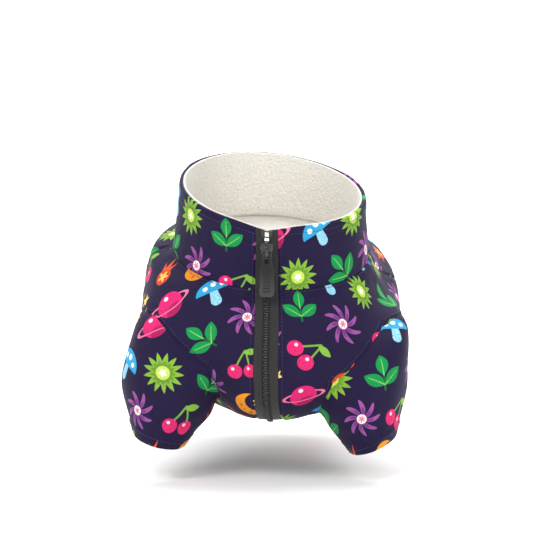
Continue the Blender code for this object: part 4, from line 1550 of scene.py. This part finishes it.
def make_pull(axis_point, material):
    """The glossy pull: a ring at its top and a ribbed grip."""
    half = PULL_THICKNESS / 2
    slot = ARCH_WIDTH / 2 + PULL_SLOT_CLEARANCE
    right = pull_outline()
    outline = right + [(-x, z) for x, z in reversed(right[1:])]
    mesh = bmesh.new()
    slab(mesh, outline, -half, half)
    body = finished("pull_body", mesh, material)
    cutter = bmesh.new()
    slab(
        cutter,
        [(-slot, -half), (slot, -half), (slot, -PULL_SLOT_END), (-slot, -PULL_SLOT_END)],
        -PULL_THICKNESS,
        PULL_THICKNESS,
    )
    tool = finished("pull_window", cutter, material)
    for thing in (body, tool):
        flip = bmesh.new()
        flip.from_mesh(thing.data)
        bmesh.ops.recalc_face_normals(flip, faces=flip.faces)
        flip.to_mesh(thing.data)
        flip.free()
    cut = body.modifiers.new("window", "BOOLEAN")
    cut.operation = "DIFFERENCE"
    cut.object = tool
    rounding = body.modifiers.new("rounding", "BEVEL")
    rounding.width = 0.00040
    rounding.segments = 3
    rounding.limit_method = "ANGLE"
    made = bpy.data.meshes.new_from_object(body.evaluated_get(bpy.context.evaluated_depsgraph_get()))
    mesh = bmesh.new()
    mesh.from_mesh(made)
    drop(body)
    drop(tool)
    rib_width = PULL_WIDTH * 0.56
    for k in range(5):
        z = -PULL_LENGTH + 0.0052 + k * 0.0022
        made = bmesh.ops.create_cube(mesh, size=1.0)["verts"]
        for vertex in made:
            x, y, up = vertex.co
            vertex.co = Vector((x * rib_width, -half + y * 0.0007, z + up * 0.0010))
        edges = list({edge for vertex in made for edge in vertex.link_edges})
        bmesh.ops.bevel(mesh, geom=edges, offset=0.0003, segments=2, affect="EDGES")
    for vertex in mesh.verts:
        vertex.co += axis_point
    return finished("pull_tab", mesh, material)


# Stitches and pile


def stitch_rows(fine):
    """Paths for the lines of stitches, at a set number of grid steps from an edge.

    A row is the set of grid edges whose two ends are the same number of steps from the
    chosen border.
    """
    rows = []
    count = len(fine.points)
    for source, kind, steps in (
        ("front_left", "seam", 2),
        ("front_right", "seam", 2),
        ("back", "seam", 2),
        ("collar", "hem", 5),
        ("front_left", "hem", 7),
        ("front_right", "hem", 7),
        ("back", "hem", 7),
        ("sleeve_left", "hem", 8),
        ("sleeve_right", "hem", 8),
        ("collar", "zip", 2),
    ):
        faces = fine.faces[fine.owner == SKIN_PIECES.index(source)]
        if kind == "hem":
            start = fine.hem_distance < 1e-7
        else:
            start = fine.seam_distance < 1e-7
        used = np.unique(faces)
        level = np.full(count, 99)
        level[used[start[used]]] = 0
        if kind == "zip":
            tape_owners = [SKIN_PIECES.index(name) for name in TAPE_PIECES]
            tape = np.unique(fine.faces[np.isin(fine.owner, tape_owners)])
            near_tape = np.zeros(count, dtype=bool)
            near_tape[tape] = True
            level[used[start[used] & ~near_tape[used]]] = 99
        starts = faces.reshape(-1)
        ends = np.roll(faces, -1, axis=1).reshape(-1)
        for _ in range(steps + 1):
            np.minimum.at(level, starts, level[ends] + 1)
            np.minimum.at(level, ends, level[starts] + 1)
        chosen = (level[starts] == steps) & (level[ends] == steps)
        keys = np.unique(
            np.minimum(starts[chosen], ends[chosen]) * count + np.maximum(starts[chosen], ends[chosen])
        )
        if len(keys):
            rows.append((keys // count, keys % count))
    return rows


def stitch_path(fine, relief, rows):
    """One object with every line of stitches, lying on the cloth's face."""
    starts = np.concatenate([row[0] for row in rows])
    ends = np.concatenate([row[1] for row in rows])
    used, local = np.unique(np.concatenate([starts, ends]), return_inverse=True)
    half = len(starts)
    points = fine.points[used] + fine.normals[used] * (relief[used] - STITCH_THICKNESS * 0.45)[:, None]
    data = bpy.data.meshes.new("stitch_path")
    data.from_pydata(points.tolist(), np.column_stack([local[:half], local[half:]]).tolist(), [])
    outward = data.attributes.new("outward", "FLOAT_VECTOR", "POINT")
    outward.data.foreach_set("vector", fine.normals[used].reshape(-1))
    return link("stitch_path", data)


def make_stitches(fine, relief, material):
    rounding = STITCH_THICKNESS * 0.4
    unit = rounded_bar(STITCH_LENGTH, STITCH_THICKNESS, STITCH_THICKNESS, rounding, "stitch_unit")
    sizes = {"Pitch": STITCH_PITCH, "Flip": 0.0}
    tree = row_along_path("row_of_stitches", unit, material, sizes)
    path = stitch_path(fine, relief, stitch_rows(fine))
    made = grow(path, tree, "seam_stitches", sizes)
    drop(unit)
    return made


# Stage


def from_frame(column, row):
    """The X and Z of a pixel of the photograph at the jacket's front."""
    return (column - MIDDLE_COLUMN) * METRES_PER_PIXEL, (ORIGIN_ROW - row) * METRES_PER_PIXEL


def make_camera():
    x, z = from_frame(IMAGE_SIZE / 2, IMAGE_SIZE / 2)
    target = Vector((x, CAMERA_TARGET_Y, z))
    lift = CAMERA_ELEVATION
    data = bpy.data.cameras.new("camera")
    data.sensor_width = 36.0
    data.lens = data.sensor_width * CAMERA_DISTANCE / (METRES_PER_PIXEL * IMAGE_SIZE)
    data.clip_end = 50.0
    camera = link("camera", data)
    camera.location = target + Vector((0, -math.cos(lift), math.sin(lift))) * CAMERA_DISTANCE
    camera.rotation_euler = (target - camera.location).to_track_quat("-Z", "Y").to_euler()
    bpy.context.scene.camera = camera


def make_light(name, place, size, power, target):
    data = bpy.data.lights.new(name, "AREA")
    data.shape = "DISK"
    data.size = size
    data.energy = power
    lamp = link(name, data)
    lamp.location = place
    lamp.rotation_euler = (Vector(target) - lamp.location).to_track_quat("-Z", "Y").to_euler()


def make_stage():
    """A white floor that sweeps up behind the jacket, and soft light from the front."""
    material, ink, shader = start_material("white_sweep")
    place = ink.node("ShaderNodeTexCoord").outputs["Object"]
    tone = ink.node("ShaderNodeTexNoise")
    ink.feed(tone.inputs["Vector"], place)
    tone.inputs["Scale"].default_value = 3.0
    tint = ink.mix(tone.outputs["Fac"], (0.90, 0.90, 0.90, 1), (0.93, 0.93, 0.93, 1))
    ink.feed(shader.inputs["Base Color"], tint)
    shader.inputs["Roughness"].default_value = 0.9
    floor_z = from_frame(0, FLOOR_ROW)[1]
    profile = [(-7.0, 0.0), (1.6, 0.0)]
    bend = 0.8
    for k in range(1, 13):
        turn = math.pi / 2 * k / 12
        profile.append((1.6 + bend * math.sin(turn), bend - bend * math.cos(turn)))
    profile.append((2.4, 4.0))
    mesh = bmesh.new()
    rows = []
    for y, rise in profile:
        rows.append([mesh.verts.new((x, y, floor_z + rise)) for x in (-7.0, 7.0)])
    for a, b in zip(rows, rows[1:]):
        mesh.faces.new((a[0], a[1], b[1], b[0]))
    finished("sweep", mesh, material)
    middle = (0.0, -0.05, -0.08)
    make_light("key", (-1.1, -1.7, 1.5), 1.3, 30.0, middle)
    make_light("fill", (1.5, -1.5, 0.7), 1.4, 14.0, middle)
    make_light("top", (0.2, 0.6, 1.9), 1.6, 18.0, middle)
    make_light("backdrop", (0.0, 0.9, 1.6), 2.0, 60.0, (0.0, 2.2, 0.2))
    world = bpy.data.worlds.new("world")
    world.use_nodes = True
    world.node_tree.nodes["Background"].inputs["Color"].default_value = (1, 1, 1, 1)
    world.node_tree.nodes["Background"].inputs["Strength"].default_value = 0.60
    bpy.context.scene.world = world
    bpy.context.scene.view_settings.view_transform = "Standard"


# Assembly


def keep(piece, node, body):
    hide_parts(*([node] if isinstance(node, str) else node))
    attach(piece, body)


def declare_sheet(fine, source):
    """Work out the flat size and area that the pattern piece was cut to; nothing is done with them."""
    rows = fine.owner == SKIN_PIECES.index(source)
    uv = fine.uv[rows]
    size = uv.reshape(-1, 2).max(axis=0) - uv.reshape(-1, 2).min(axis=0)
    size = np.maximum(size, NARROWEST_SHEET)
    a, b = uv[:, 2] - uv[:, 0], uv[:, 3] - uv[:, 1]
    area = abs((a[:, 0] * b[:, 1] - a[:, 1] * b[:, 0]).sum()) / 2
    area = min(max(area, 0.3 * size[0] * size[1]), size[0] * size[1])


def main():
    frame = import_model()
    make_stage()
    make_camera()
    skin = build_skin()
    fine = refine(skin)
    relief = cloth_relief(fine)
    flat = np.zeros(len(fine.points))
    outer, inner, tape = printed_cloth(), plush(), woven_tape()
    gloss = black_plastic("gloss_black", 0.08, 6)
    dull = black_plastic("dull_black", 0.30, 12)
    thread = sewing_thread()

    made = {}
    for name in CLOTH_PIECES:
        made[name] = wall(name + "_cloth", fine, name, 0.0, CLOTH, relief, [outer, inner], flat)
        keep(made[name], name, "jacket")
    for name in CLOTH_PIECES:
        declare_sheet(fine, name)
    behind = CLOTH + LAYER_GAP
    lining = wall("collar_plush", fine, "collar", -behind, behind + LINING, flat, [inner])
    keep(lining, "collar_lining", "jacket")
    declare_sheet(fine, "collar")
    for name in TAPE_PIECES:
        piece = wall(name + "_weave", fine, name, -TAPE_SINK, TAPE_SINK + TAPE, flat, [tape])
        keep(piece, name, "jacket")
        declare_sheet(fine, name)
    core = wall("zip_core", fine, "zip_chain", -CORE_SINK, CORE_SINK + TAPE, flat, [tape])
    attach(core, "jacket")
    teeth = make_teeth(skin, dull)
    keep(teeth, "zip_chain", "jacket")
    slider = make_slider(skin, gloss)
    keep(slider, "zip_slider", "jacket")
    joint = frame["joints"][0]
    pull = make_pull(Vector(joint["pos_m"]), gloss)
    keep(pull, "zip_pull", "pull")
    stitches = make_stitches(fine, relief, thread)
    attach(stitches, "jacket")
    for name in ("top_stop_left", "top_stop_right", "bottom_stop"):
        node = frame["nodes"][name]
        node.data.materials.clear()
        node.data.materials.append(dull)


main()
